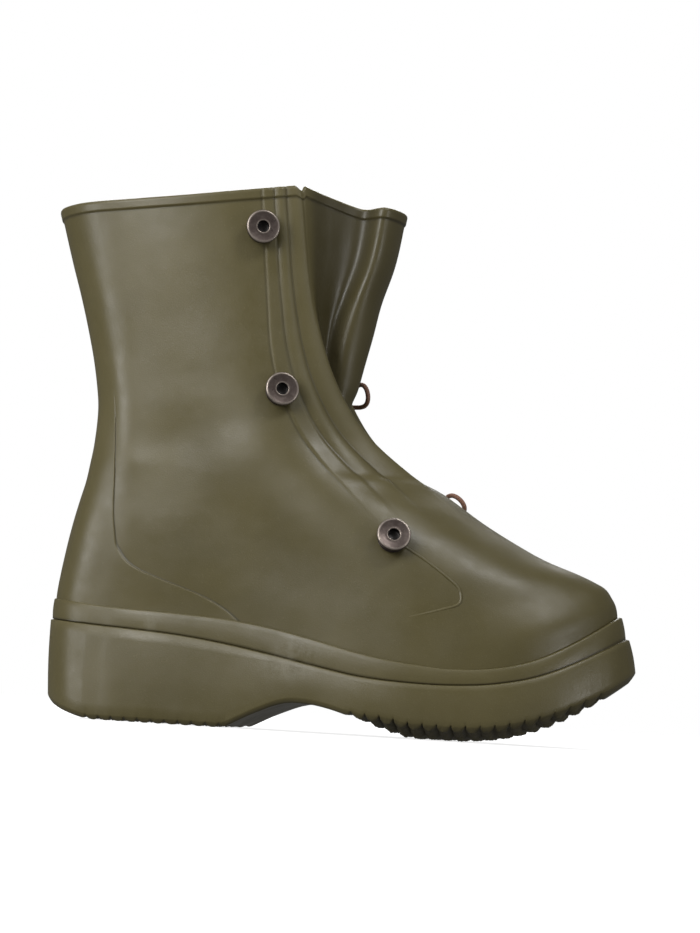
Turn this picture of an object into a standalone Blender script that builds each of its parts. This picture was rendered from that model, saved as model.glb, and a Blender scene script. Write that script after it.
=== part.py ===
"""Moulded rubber overboot for the right foot: a hollow upper with a gusset front on a cup sole.

Three studs stand on the outer flap, and three studs with elastic loops on the inner flap.
Frame: +X to the toe, +Y to the inner side of the foot, +Z up, origin on the floor under the middle.
Lengths are millimetres until a mesh is made.
"""

import math
from collections import namedtuple

import bmesh
import bpy
import numpy as np
from mathutils import Matrix, Vector

MM = 0.001
GAP = 0.35

# Upper: each row is a nearly level section, from the sole's seat to the collar. back and front are
# where the section meets the boot's middle line, follow is how far it shares the sole rim's dip, and
# heel, waist, ball and edge are half widths. x is counted from the back of the heel.
# In a foot section edge is the toe's shoulder and edge_back is how far it lies behind the front.
Foot = namedtuple("Foot", "name back_x back_z front_x front_z follow heel waist ball edge edge_back")
FOOT_SECTIONS = [
    Foot("seat", -0.8, 54.0, 305.5, 66.0, 1.00, 32.5, 39.5, 51.0, 36, 32.0),
    Foot("rand", -1.4, 66.0, 306.0, 78.0, 1.00, 33.0, 40.0, 51.5, 36, 31.0),
    Foot("toe_wall", 0.2, 80.0, 303.0, 88.5, 0.85, 34.5, 41.0, 51.0, 34, 26.0),
    Foot("toe_top", 2.2, 92.0, 296.0, 97.5, 0.65, 36.0, 41.5, 50.0, 32, 27.0),
    Foot("vamp", 4.2, 102.0, 281.0, 105.5, 0.45, 37.0, 42.0, 49.0, 29, 22.0),
    Foot("forepart", 6.4, 111.0, 257.0, 113.0, 0.25, 37.5, 42.5, 48.0, 24, 15.0),
    Foot("instep", 8.9, 120.0, 231.0, 122.5, 0.10, 37.5, 43.0, 47.0, 17, 8.5),
    Foot("throat", 11.6, 129.0, 208.0, 133.5, 0.00, 37.5, 43.5, 46.0, 11, 4.0),
]
# In a shaft section front is the fold that each flap ends in, sag is how far the section sinks at
# the side, edge is half the gap between the two folds, and the gusset between them runs to a crease
# and out again to a rounded nose.
Shaft = namedtuple(
    "Shaft",
    "name back_x back_z front_x front_z sag heel waist ball edge"
    " crease_ahead crease_half nose_ahead nose_half",
)
SHAFT_SECTIONS = [
    Shaft("tongue", 13.6, 139.0, 191.0, 142.5, 0, 38.0, 44.0, 45.5, 13.0, -4.0, 7.0, -4.5, 3.5),
    Shaft("ankle", 15.2, 149.0, 176.0, 154.0, 0, 37.5, 44.5, 45.0, 18.0, -8.0, 9.0, -8.5, 4.5),
    Shaft("ankle_top", 16.0, 160.0, 165.0, 165.0, 0, 37.5, 45.0, 45.0, 22.0, -9.5, 10.0, -8.0, 5.5),
    Shaft("fold_start", 15.8, 170.0, 156.5, 177.0, 0, 37.5, 45.5, 45.5, 25.0, -8.5, 10.0, -1.5, 7.5),
    Shaft("gaiter", 14.2, 182.0, 149.5, 190.0, 0, 37.5, 46.0, 46.0, 28.0, -6.5, 10.5, 8.8, 10.0),
    Shaft("gaiter_top", 11.5, 196.0, 143.5, 205.0, 0, 37.5, 47.0, 47.0, 30.0, -2.5, 11.0, 17.7, 12.5),
    Shaft("shaft", 7.5, 212.0, 138.0, 222.5, 1, 38.0, 48.0, 48.0, 32.5, 4.7, 11.0, 26.7, 14.5),
    Shaft("shaft_top", 2.0, 231.0, 133.5, 242.5, 2, 38.5, 49.5, 49.5, 35.0, 14.7, 11.0, 35.0, 16.5),
    Shaft("calf", -4.2, 250.0, 130.5, 263.0, 3, 39.0, 51.0, 51.0, 37.0, 23.5, 11.0, 44.0, 17.5),
    Shaft("collar", -13.0, 279.0, 126.5, 293.5, 4.5, 40.0, 53.0, 53.0, 39.5, 31.5, 11.0, 53.0, 18.5),
]
GUSSET_DROP, GUSSET_REACH = 0.2, 30.0
CORNER_FROM, CORNER_FADE = 122.0, 14.0
HEEL_AT, WAIST_AT, BALL_AT = 0.12, 0.38, 0.68
HEEL_CORNER_X, HEEL_CORNER_Y = 0.27, 0.66
PANEL_SAG = 2.0
FOLD_STIFFNESS = 0.4
TOE_SWING, SWING_FROM, SWING_LENGTH = 5.0, 140.0, 170.0
WALL = 2.2

# The sole's rim along the boot: the line where the upper starts and the lower line of its band.
Rim = namedtuple("Rim", "x upper lower")
RIM_LINE = [
    Rim(0, 64.6, 53.5), Rim(20, 62.0, 51.5), Rim(46, 60.0, 49.8), Rim(74, 58.8, 47.8),
    Rim(100, 57.2, 44.6), Rim(125, 53.8, 40.4), Rim(150, 48.6, 35.6), Rim(175, 42.8, 31.2),
    Rim(200, 39.0, 29.4), Rim(222, 37.5, 29.4), Rim(245, 39.4, 31.6), Rim(265, 45.0, 36.6),
    Rim(285, 56.0, 46.2), Rim(303, 69.0, 57.8), Rim(312, 76.5, 65.2),
]

# Places round a section, counted in control points: 0 is the back, 5 the outer fold, 9 the front,
# 13 the inner fold and 18 the back again. The lines below run up the outer side.
OUTER_FOLD, AROUND = 5.0, 18.0
# Two ribs and the groove behind each lie at these shares of the way from the eyestay to the fold.
GROOVE_BACK, RIB_BACK, GROOVE_FRONT, RIB_FRONT = 0.28, 0.40, 0.58, 0.70
STEP_HALF = 0.008
FRONT_PLACES = [5.4, 5.8, 6.3, 6.75, 7.0, 7.3, 7.7, 8.1, 8.5, 9.0]
Line = namedtuple("Line", "level at")
COUNTER_LINE = [Line(54, 2.89), Line(66, 2.89), Line(72, 2.77), Line(76.5, 2.63), Line(81.5, 2.40),
                Line(87, 2.16), Line(95, 2.02), Line(107, 1.94), Line(130, 1.93), Line(155, 1.88),
                Line(174, 1.87), Line(279, 1.87)]
EYESTAY_LINE = [Line(54, 4.17), Line(66, 4.17), Line(108, 4.17), Line(122, 4.19), Line(141, 4.24),
                Line(167, 4.28), Line(192, 4.33), Line(222, 4.45), Line(245, 4.50), Line(279, 4.54)]
COUNTER_RISE, COUNTER_TOP, COUNTER_FADE = 0.7, 178.0, 26.0
EYESTAY_RISE, RIB_RISE, EYESTAY_FOOT, EYESTAY_FADE = 0.6, 1.1, 114.0, 30.0
CUFF_RISE, CUFF_DEPTH = 0.7, 5.5
SEAT_LEVEL, RAND_LEVEL, COLLAR_LEVEL = 54.0, 66.0, 279.0
LEVELS_BETWEEN = [74, 82, 90, 98, 106, 113, 120, 126, 131, 136, 142, 149, 157, 166, 176, 188, 203,
                  220, 240, 259]

# Sole: each row is one line round its outside. out is how far it stands out from the upper's foot,
# and toe_out and heel_out are what is added at the toe and at the heel.
SideLine = namedtuple("SideLine", "name out toe_out heel_out")
BOTTOM_EDGE = SideLine("bottom_edge", 2.6, 5.0, -3.8)
CORNER = SideLine("corner", 4.6, 6.4, -3.2)
WALL_TOP = SideLine("wall_top", 4.0, 3.0, -1.2)
BAND_FOOT = SideLine("band_foot", 2.5, 2.4, -0.6)
BAND_TOP = SideLine("band_top", 2.0, 0.6, -0.3)
STEP_HEIGHT, RIM_ROUND = 0.9, 0.6
CORNER_HEIGHT = 3.0
FLOOR_INSET, FLOOR_ROUND = 6.5, 3.0
TOE_FROM, TOE_FULL = 200.0, 300.0
HEEL_FROM, HEEL_FULL = 60.0, 10.0
SIDE_STEP = 0.15

# Bottom of the sole along its length, and the floor inside it.
Station = namedtuple("Station", "x bottom floor")
STATIONS = [
    Station(-6, 11.0, 16.0), Station(12, 4.0, 15.5), Station(27, 0.0, 15.0), Station(102, 0.0, 16.0),
    Station(119, 8.5, 21.5), Station(137, 15.0, 27.0), Station(148, 15.0, 27.0),
    Station(164, 12.0, 24.0), Station(184, 4.5, 17.0), Station(202, 0.0, 13.5),
    Station(225, 0.0, 13.0), Station(250, 3.0, 15.5), Station(275, 12.0, 24.0),
    Station(300, 27.0, 39.0), Station(326, 46.0, 57.0),
]

# The forepart's tread is flat along the middle and rises to its edges.
TREAD_SHARES = [0.23, 0.77]
CROWN_RISE, CROWN_FLAT, CROWN_EDGE, CROWN_FROM, CROWN_FULL = 6.0, 30.0, 58.0, 165.0, 195.0

# The origin lies under the middle of the boot's length.
ORIGIN = np.array([152.5, 0.0, 0.0])

# Tread: ribs across the sole, left standing between grooves.
Tread = namedtuple("Tread", "name start end depth")
TREADS = [Tread("heel", 27.0, 102.0, 2.3), Tread("ball", 172.0, 299.0, 3.4)]
RIB_PITCH, GROOVE_MOUTH, GROOVE_ROOT = 7.4, 4.8, 1.2
CUTTER_REACH = 75.0
CUTTER_BELOW = 1.6

# Studs, in the outer flap's side view: seat is how far each stands off the smooth wall, so that it
# clears the raised eyestay. Its loop lies at loop_angle degrees above level and falls with the curve
# of the wall. SEARCH_LEVELS and SEARCH_PLACES bound the part of the flap that holds them.
Stud = namedtuple("Stud", "name x z seat loop_angle loop_fall")
STUDS = [
    Stud("top", 106.7, 267.1, 1.0, 0.0, 0.0090),
    Stud("middle", 121.8, 179.9, 1.0, 14.0, 0.0090),
    Stud("low", 187.2, 104.0, 0.4, 46.0, 0.0090),
]
FLANGE_RADIUS, FLANGE_HEIGHT = 8.0, 1.2
NECK_RADIUS, DISC_FOOT, DISC_TOP, DISC_RADIUS, DISC_ROUND = 3.6, 4.9, 7.2, 9.0, 0.7
HOLE_RADIUS, HOLE_FLOOR = 2.8, 3.4
STUD_SIDES = 16
SEARCH_LEVELS, SEARCH_PLACES, SEARCH_STEPS = (80.0, 275.0), (3.4, 4.9), 60
CORD_DIAMETER = 2.7
CORD_HEIGHT = 3.0
FERRULE_LENGTH, FERRULE_WIDTH, FERRULE_HEIGHT, FERRULE_ROUND = 9.0, 6.4, 3.0, 0.8
LOOP_LENGTH, LOOP_HALF_WIDTH, LOOP_POINTS = 28.0, 7.0, 17
LOOP_ROUNDNESS, LOOP_PINCH = 0.8, 0.35
STRAND_OFFSET = 1.55
RING_SIDES = 12

Finish = namedtuple("Finish", "name colour roughness metallic")
RUBBER = Finish("olive_rubber", (0.105, 0.095, 0.045), 0.45, 0.0)
GUNMETAL = Finish("gunmetal", (0.075, 0.062, 0.055), 0.35, 0.7)
ELASTIC = Finish("elastic_cord", (0.23, 0.12, 0.075), 0.8, 0.0)
CRIMP = Finish("crimp", (0.035, 0.030, 0.028), 0.45, 0.4)


# Smooth curves

def tangents(knots, values):
    """Slopes of a smooth curve through values at uneven knots."""
    steps = np.diff(knots)
    slopes = np.diff(values, axis=0) / steps[:, None]
    weighed = slopes[:-1] * steps[1:, None] + slopes[1:] * steps[:-1, None]
    inner = weighed / (steps[:-1] + steps[1:])[:, None]
    return np.vstack([slopes[:1], inner, slopes[-1:]])


def smooth(knots, values, at):
    """The smooth curve through values, read at one place or at several."""
    knots = np.asarray(knots, float)
    values = np.asarray(values, float)
    at = np.clip(np.atleast_1d(np.asarray(at, float)), knots[0], knots[-1])
    slopes = tangents(knots, values)
    i = np.clip(np.searchsorted(knots, at, side="right") - 1, 0, len(knots) - 2)
    step = (knots[i + 1] - knots[i])[:, None]
    u = (at[:, None] - knots[i][:, None]) / step
    start = (2 * u**3 - 3 * u**2 + 1) * values[i] + (u**3 - 2 * u**2 + u) * step * slopes[i]
    return start + (3 * u**2 - 2 * u**3) * values[i + 1] + (u**3 - u**2) * step * slopes[i + 1]


def ease(value):
    """0 below 0, 1 above 1, and a smooth rise between them."""
    u = np.clip(value, 0.0, 1.0)
    return u * u * (3 - 2 * u)


def line_at(line, level):
    return float(smooth([p.level for p in line], [[p.at] for p in line], level)[0, 0])


def sole_profile(x):
    """Height of the sole's bottom and of the floor inside it, at each x."""
    heights = [[s.bottom, s.floor] for s in STATIONS]
    found = smooth([s.x for s in STATIONS], heights, x)
    flat = [(s.x, t.x) for s, t in zip(STATIONS, STATIONS[1:]) if s.bottom == t.bottom == 0]
    x = np.atleast_1d(x)
    for low, high in flat:
        found[(x >= low) & (x <= high), 0] = 0.0
    return np.maximum(found[:, 0], 0.0), found[:, 1]


def swing(x):
    """How far the forepart turns to the inner side."""
    return TOE_SWING * ease((np.asarray(x, float) - SWING_FROM) / SWING_LENGTH)


def crown(x, y):
    """How far the forepart's tread has risen at each point."""
    across = np.clip((np.abs(y - swing(x)) - CROWN_FLAT) / (CROWN_EDGE - CROWN_FLAT), 0, None)
    return CROWN_RISE * across * ease((np.asarray(x, float) - CROWN_FROM) / (CROWN_FULL - CROWN_FROM))


def rim_line(x):
    """Heights of the sole rim's upper and lower lines at each x."""
    found = smooth([r.x for r in RIM_LINE], [[r.upper, r.lower] for r in RIM_LINE], x)
    return found[:, 0], found[:, 1]


# The upper's own surface

def half_outline(row):
    """Control points of one section in plan, from the heel's side to the nose or toe's side."""
    length = row.front_x - row.back_x
    points = [(row.back_x + HEEL_AT * HEEL_CORNER_X * length, row.heel * HEEL_CORNER_Y),
              (row.back_x + HEEL_AT * length, row.heel), (row.back_x + WAIST_AT * length, row.waist),
              (row.back_x + BALL_AT * length, row.ball)]
    if isinstance(row, Foot):
        for share in (1.0, 0.75, 0.5, 0.25):
            points.append((row.front_x - row.edge_back * share**2, row.edge * share))
        return points
    crease = (row.front_x + row.crease_ahead, row.crease_half)
    middle = ((row.front_x + crease[0]) / 2 - PANEL_SAG, (row.edge + crease[1]) / 2 - PANEL_SAG)
    nose_side = (row.front_x + (row.crease_ahead + row.nose_ahead) / 2, row.nose_half)
    return points + [(row.front_x, row.edge), middle, crease, nose_side]


def section_values(row):
    """One section as plain numbers: its ends and how it follows the rim, then its control points."""
    half = half_outline(row)
    follow, sag, nose = (row.follow, 0.0, 0.0) if isinstance(row, Foot) else (0.0, row.sag, row.nose_ahead)
    outer = [(x, -y) for x, y in half]
    outline = [(row.back_x, 0.0)] + outer + [(row.front_x + nose, 0.0)] + half[::-1]
    ends = [row.back_x, row.back_z, row.front_x, row.front_z, follow, sag]
    return np.concatenate([ends, np.array(outline).ravel()])


SECTION_LEVELS = [row.back_z for row in FOOT_SECTIONS + SHAFT_SECTIONS]
SECTION_TABLE = np.array([section_values(row) for row in FOOT_SECTIONS + SHAFT_SECTIONS])


def section_curve(controls, corner, places):
    """The closed curve through a section's control points, turning sharply at the folds where asked."""
    count = len(controls)
    ahead = np.roll(controls, -1, axis=0) - controls
    chords = np.linalg.norm(ahead, axis=1)[:, None]
    slopes = ahead / chords
    before, chords_before = np.roll(slopes, 1, axis=0), np.roll(chords, 1, axis=0)
    middle = (before * chords + slopes * chords_before) / (chords + chords_before)
    arrive, leave = middle.copy(), middle.copy()
    for fold in (int(OUTER_FOLD), count - int(OUTER_FOLD)):
        straight_in = before[fold] + FOLD_STIFFNESS * (before[fold] - middle[fold - 1])
        straight_out = slopes[fold] + FOLD_STIFFNESS * (slopes[fold] - middle[(fold + 1) % count])
        arrive[fold] = middle[fold] * (1 - corner) + straight_in * corner
        leave[fold] = middle[fold] * (1 - corner) + straight_out * corner
    places = np.mod(np.asarray(places, float), count)
    i = places.astype(int)
    k = (i + 1) % count
    u = (places - i)[:, None]
    start = (2 * u**3 - 3 * u**2 + 1) * controls[i] + (u**3 - 2 * u**2 + u) * chords[i] * leave[i]
    return start + (3 * u**2 - 2 * u**3) * controls[k] + (u**3 - u**2) * chords[i] * arrive[k]


def ring(level, places):
    """Points of the upper's outside at one level, at places counted in control points."""
    values = smooth(SECTION_LEVELS, SECTION_TABLE, level)[0]
    back_x, back_z, front_x, front_z, follow, sag = values[:6]
    x, y = section_curve(values[6:].reshape(-1, 2), ease((level - CORNER_FROM) / CORNER_FADE), places).T
    along = (x - back_x) / (front_x - back_x)
    z = back_z + (front_z - back_z) * np.minimum(along, 1) - sag * np.sin(np.pi * np.clip(along, 0, 1))
    z = z - GUSSET_DROP * np.clip(x - front_x, 0, GUSSET_REACH)
    rim_back, rim_front = FOOT_SECTIONS[1].back_z, FOOT_SECTIONS[1].front_z
    z = z - follow * (rim_back + (rim_front - rim_back) * along - rim_line(x)[0])
    y = y + swing(x)
    return np.column_stack([x, y, z])


def outward(level, places):
    """Unit normals of the upper's outside."""
    places = np.asarray(places, float)
    lower, upper = max(level - 0.5, SEAT_LEVEL), min(level + 0.5, COLLAR_LEVEL)
    along = ring(level, places + 0.01) - ring(level, places - 0.01)
    up = ring(upper, places) - ring(lower, places)
    normals = np.cross(along, up)
    return normals / np.linalg.norm(normals, axis=1)[:, None]


def rib_places(level):
    """Places of the back groove, the back rib, the front groove and the front rib."""
    eyestay = line_at(EYESTAY_LINE, level)
    shares = np.array([GROOVE_BACK, RIB_BACK, GROOVE_FRONT, RIB_FRONT])
    return eyestay + shares * (OUTER_FOLD - eyestay)


def places_round(level):
    """Places round a section that follow the moulded lines, with a pair where the wall steps."""
    counter, eyestay = line_at(COUNTER_LINE, level), line_at(EYESTAY_LINE, level)
    outer = [counter * share for share in (0.0, 0.2, 0.4, 0.6, 0.8)]
    outer += [counter - STEP_HALF]
    outer += list(np.linspace(counter + STEP_HALF, eyestay - STEP_HALF, 7))
    outer += [eyestay + STEP_HALF, *rib_places(level), OUTER_FOLD]
    outer += FRONT_PLACES
    return np.array(outer + [AROUND - p for p in reversed(outer[1:-1])])


def relief(level, places):
    """How far the moulded lines raise the wall: counter, eyestay, ribs beside the fold and cuff."""
    side = np.minimum(places, AROUND - places)
    counter, eyestay = line_at(COUNTER_LINE, level), line_at(EYESTAY_LINE, level)
    heel = COUNTER_RISE * ease((COUNTER_TOP - level) / COUNTER_FADE) * (side < counter)
    rise = ease((level - EYESTAY_FOOT) / EYESTAY_FADE)
    groove_back, rib_back, _, rib_front = rib_places(level)
    band = EYESTAY_RISE * (side > eyestay) * (side < groove_back - 1e-6)
    ribs = RIB_RISE * (np.isclose(side, rib_back) | np.isclose(side, rib_front))
    cuff = CUFF_RISE if level > COLLAR_LEVEL - CUFF_DEPTH else 0.0
    return heel + rise * (band + ribs) + cuff


def locate(x, z):
    """Level and place of a point on the outer flap, given in side view."""
    levels = np.linspace(*SEARCH_LEVELS, SEARCH_STEPS)
    places = np.linspace(*SEARCH_PLACES, SEARCH_STEPS)
    grid = np.array([ring(level, places) for level in levels])
    far = (grid[:, :, 0] - x) ** 2 + (grid[:, :, 2] - z) ** 2
    i, j = np.unravel_index(np.argmin(far), far.shape)
    found = np.array([levels[i], places[j]])
    small = np.array([0.2, 0.004])
    for _ in range(8):
        here = ring(found[0], [found[1]])[0][[0, 2]]
        by_level = (ring(found[0] + small[0], [found[1]])[0][[0, 2]] - here) / small[0]
        by_place = (ring(found[0], [found[1] + small[1]])[0][[0, 2]] - here) / small[1]
        found = found + np.linalg.solve(np.column_stack([by_level, by_place]), np.array([x, z]) - here)
    return found


# Meshes

def material(finish):
    made = bpy.data.materials.new(finish.name)
    made.use_nodes = True
    shader = made.node_tree.nodes["Principled BSDF"]
    shader.inputs["Base Color"].default_value = (*finish.colour, 1.0)
    shader.inputs["Roughness"].default_value = finish.roughness
    shader.inputs["Metallic"].default_value = finish.metallic
    return made


def add_object(name, mesh, finish, smooth_angle=35):
    mesh.materials.append(finish)
    mesh.shade_smooth()
    mesh.set_sharp_from_angle(angle=math.radians(smooth_angle))
    made = bpy.data.objects.new(name, mesh)
    bpy.context.scene.collection.objects.link(made)
    return made


def mesh_of(name, points, faces):
    mesh = bpy.data.meshes.new(name)
    mesh.from_pydata([tuple(p * MM) for p in points], [], faces)
    mesh.update()
    return mesh


def strip_faces(first, second, count):
    """Quads between two closed rings of points."""
    ahead = [(j + 1) % count for j in range(count)]
    return [(first + j, first + ahead[j], second + ahead[j], second + j) for j in range(count)]


def build_upper(finish):
    """One hollow wall, open at the collar and underneath."""
    levels = [SEAT_LEVEL, RAND_LEVEL, *LEVELS_BETWEEN, COLLAR_LEVEL - CUFF_DEPTH - 0.2,
              COLLAR_LEVEL - CUFF_DEPTH + 0.2, COLLAR_LEVEL]
    outside, inside = [], []
    for level in sorted(levels):
        places = places_round(level)
        points, normals = ring(level, places), outward(level, places)
        outside.append(points + normals * relief(level, places)[:, None])
        inside.append(points - normals * WALL)
    rings = outside + inside[::-1]
    count = len(outside[0])
    faces = []
    for k in range(len(rings)):
        faces += strip_faces(k * count, (k + 1) % len(rings) * count, count)
    return add_object("upper", mesh_of("upper", np.vstack(rings) - ORIGIN, faces), finish, smooth_angle=28)


def plan_normals(points):
    """Outward directions in plan of a closed ring."""
    along = np.roll(points, -1, axis=0) - np.roll(points, 1, axis=0)
    normals = np.column_stack([along[:, 1], -along[:, 0]])
    normals = normals / np.linalg.norm(normals, axis=1)[:, None]
    return np.column_stack([normals, np.zeros(len(points))])


def side_line(foot, normals, line, height):
    """One line round the sole's outside, at heights given or worked out from x and y."""
    toe = ease((foot[:, 0] - TOE_FROM) / (TOE_FULL - TOE_FROM)) * np.clip(normals[:, 0], 0, 1)
    heel = ease((foot[:, 0] - HEEL_FROM) / (HEEL_FULL - HEEL_FROM)) * np.clip(-normals[:, 0], 0, 1)
    points = foot + normals * (line.out + line.toe_out * toe + line.heel_out * heel)[:, None]
    points[:, 2] = height(points[:, 0], points[:, 1]) if callable(height) else height
    return points


def bottom(x, y):
    """Height of the sole's underside."""
    return sole_profile(x)[0] + crown(x, y)


def close_across(points, faces, first, count, shares, height):
    """Closes a ring with rungs across the boot, which have points at shares of their length."""
    half = count // 2
    rows = [[first]]
    for j in range(1, half):
        start, end = points[first + j], points[first + count - j]
        row = [first + j]
        for share in shares:
            place = start + (end - start) * share
            place[2] = float(height(place[0], place[1])[0])
            row.append(len(points))
            points.append(place)
        rows.append(row + [first + count - j])
    rows.append([first + half])
    for here, ahead in zip(rows, rows[1:]):
        for k in range(len(shares) + 1):
            loop = [here[min(k, len(here) - 1)], ahead[min(k, len(ahead) - 1)],
                    ahead[min(k + 1, len(ahead) - 1)], here[min(k + 1, len(here) - 1)]]
            faces.append(tuple(dict.fromkeys(loop)))


def sole_places():
    """The upper's places at the rim, with one more between any two that lie far apart along the side.

    The second list tells which places were added.
    """
    places = list(places_round(RAND_LEVEL)) + [AROUND]
    found, added = [], []
    for here, ahead in zip(places, places[1:]):
        found.append(here)
        added.append(False)
        if ahead - here > SIDE_STEP and not OUTER_FOLD <= here < AROUND - OUTER_FOLD:
            found.append((here + ahead) / 2)
            added.append(True)
    return np.array(found), np.array(added)


def on_facets(line, added):
    """Moves the added points of a line to the middle of their neighbours, where the upper's facets lie."""
    middle = (np.roll(line, 1, axis=0) + np.roll(line, -1, axis=0)) / 2
    return np.where(added[:, None], middle, line)


def build_sole(finish):
    """A cup: tread, side with its two steps, rim, ledge for the upper, and floor."""
    places, added = sole_places()
    foot, seat = ring(RAND_LEVEL, places), ring(SEAT_LEVEL, places)
    foot_out, seat_out = outward(RAND_LEVEL, places), outward(SEAT_LEVEL, places)
    normals = plan_normals(foot)
    raised = relief(RAND_LEVEL, places)[:, None]
    upper_line, lower_line = foot[:, 2], rim_line(foot[:, 0])[1]
    ledge = seat - np.array([0.0, 0.0, GAP])
    round_line = seat - plan_normals(seat) * (FLOOR_INSET - FLOOR_ROUND)
    round_line[:, 2] = sole_profile(round_line[:, 0])[1] + FLOOR_ROUND
    floor_line = seat - plan_normals(seat) * FLOOR_INSET
    floor_line[:, 2] = sole_profile(floor_line[:, 0])[1]
    lines = [
        side_line(foot, normals, BOTTOM_EDGE, bottom),
        side_line(foot, normals, CORNER, lambda x, y: bottom(x, y) + CORNER_HEIGHT),
        side_line(foot, normals, WALL_TOP, lower_line - STEP_HEIGHT),
        side_line(foot, normals, BAND_FOOT, lower_line),
        side_line(foot, normals, BAND_TOP, upper_line - RIM_ROUND),
        on_facets(foot + foot_out * (GAP + raised), added),
        on_facets(ledge + seat_out * (GAP + raised), added),
        on_facets(ledge - seat_out * WALL, added),
        round_line,
        floor_line,
    ]
    count = len(foot)
    points = [place for line in lines for place in line]
    faces = []
    for k in range(len(lines) - 1):
        faces += strip_faces(k * count, (k + 1) * count, count)
    turned_over = []
    close_across(points, turned_over, 0, count, TREAD_SHARES, bottom)
    faces += [tuple(reversed(face)) for face in turned_over]
    close_across(points, faces, (len(lines) - 1) * count, count, [], bottom)
    sole = add_object("sole", mesh_of("sole", np.array(points) - ORIGIN, faces), finish, smooth_angle=30)
    cut = sole.modifiers.new("tread", "BOOLEAN")
    cut.operation = "DIFFERENCE"
    cut.object = build_groove_cutter()
    return sole


def groove_stations():
    """Where the grooves lie along the sole, with the bottom's slope there and their depth."""
    found = []
    for tread in TREADS:
        for x in np.arange(tread.start, tread.end, RIB_PITCH):
            z, _ = sole_profile([x - 1, x, x + 1])
            found.append((x, z[1], math.atan2(z[2] - z[0], 2.0), tread.depth))
    return found


def build_groove_cutter():
    """Wedge bars across the sole, each square to the bottom and bent to its crown."""
    points, faces = [], []
    for x, z, slope, depth in groove_stations():
        flare = (GROOVE_MOUTH - GROOVE_ROOT) / depth
        low_half = GROOVE_MOUTH / 2 + flare * CUTTER_BELOW / 2
        profile = [(-low_half, -CUTTER_BELOW), (low_half, -CUTTER_BELOW), (GROOVE_ROOT / 2, depth),
                   (-GROOVE_ROOT / 2, depth)]
        first = len(points)
        for y in swing(x) + np.array([-CUTTER_REACH, -CROWN_FLAT, CROWN_FLAT, CUTTER_REACH]):
            lift = z + float(crown(x, y))
            for across, deep in profile:
                points.append(np.array([x + across * math.cos(slope) - deep * math.sin(slope), y,
                                        lift + across * math.sin(slope) + deep * math.cos(slope)]))
        last = len(points) - 4
        faces += [(first, first + 1, first + 2, first + 3), (last + 3, last + 2, last + 1, last)]
        for start in range(first, last, 4):
            for a in range(4):
                b = (a + 1) % 4
                faces.append((start + a, start + a + 4, start + b + 4, start + b))
    mesh = mesh_of("groove_cutter", np.array(points) - ORIGIN, faces)
    cutter = bpy.data.objects.new("groove_cutter", mesh)
    bpy.context.scene.collection.objects.link(cutter)
    cutter.hide_render = True
    cutter.display_type = "WIRE"
    return cutter


# Studs and loops

def turned(name, profile, sides):
    """A solid turned about local Z from (radius, height) points that run up the outside."""
    points, faces, rings = [], [], []
    for radius, height in profile:
        if radius == 0:
            rings.append([len(points)])
            points.append(np.array([0.0, 0.0, height]))
            continue
        rings.append(list(range(len(points), len(points) + sides)))
        for j in range(sides):
            angle = 2 * math.pi * j / sides
            points.append(np.array([radius * math.cos(angle), radius * math.sin(angle), height]))
    for low, high in zip(rings, rings[1:]):
        for j in range(sides):
            loop = [low[j % len(low)], low[(j + 1) % len(low)],
                    high[(j + 1) % len(high)], high[j % len(high)]]
            faces.append(tuple(dict.fromkeys(loop)))
    return mesh_of(name, points, faces)


def stud_frame(level, place, stand_off, angle):
    """Matrix whose Z is the wall's normal and whose X lies along the wall at an angle above level."""
    point, normal = ring(level, [place])[0], outward(level, [place])[0]
    up = np.array([0.0, 0.0, 1.0]) - normal * normal[2]
    up = up / np.linalg.norm(up)
    ahead = np.cross(up, normal)
    ahead = ahead * math.copysign(1.0, ahead[0])
    lie = ahead * math.cos(math.radians(angle)) + up * math.sin(math.radians(angle))
    seat = point + normal * stand_off - ORIGIN
    columns = np.column_stack([lie, np.cross(normal, lie), normal])
    frame = Matrix(columns.tolist()).to_4x4()
    frame.translation = Vector(seat * MM)
    return frame


def build_stud(name, frame, finish):
    profile = [
        (0, 0), (FLANGE_RADIUS, 0), (FLANGE_RADIUS, FLANGE_HEIGHT), (NECK_RADIUS, FLANGE_HEIGHT),
        (NECK_RADIUS, DISC_FOOT), (DISC_RADIUS, DISC_FOOT), (DISC_RADIUS, DISC_TOP - DISC_ROUND),
        (DISC_RADIUS - DISC_ROUND, DISC_TOP), (HOLE_RADIUS, DISC_TOP), (HOLE_RADIUS, HOLE_FLOOR),
        (0, HOLE_FLOOR),
    ]
    made = add_object(name, turned(name, profile, STUD_SIDES), finish, smooth_angle=40)
    made.matrix_world = frame
    return made


def build_ferrule(name, frame, finish):
    """The crimp that pinches the cord beside its stud."""
    work = bmesh.new()
    bmesh.ops.create_cube(work, size=1.0)
    size = Vector((FERRULE_LENGTH, FERRULE_WIDTH, FERRULE_HEIGHT)) * MM
    middle = Vector((ferrule_start() + FERRULE_LENGTH / 2, 0, CORD_HEIGHT)) * MM
    bmesh.ops.scale(work, verts=work.verts, vec=size)
    bmesh.ops.bevel(work, geom=list(work.edges), offset=FERRULE_ROUND * MM, segments=1, affect="EDGES",
                    profile=0.5)
    bmesh.ops.translate(work, verts=work.verts, vec=middle)
    mesh = bpy.data.meshes.new(name)
    work.to_mesh(mesh)
    work.free()
    made = add_object(name, mesh, finish, smooth_angle=50)
    made.matrix_world = frame
    return made


def ring_radius():
    """Radius of the cord's turn round a stud's neck."""
    return NECK_RADIUS + GAP + CORD_DIAMETER / 2


def ferrule_start():
    return ring_radius() + CORD_DIAMETER / 2 + GAP


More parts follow.
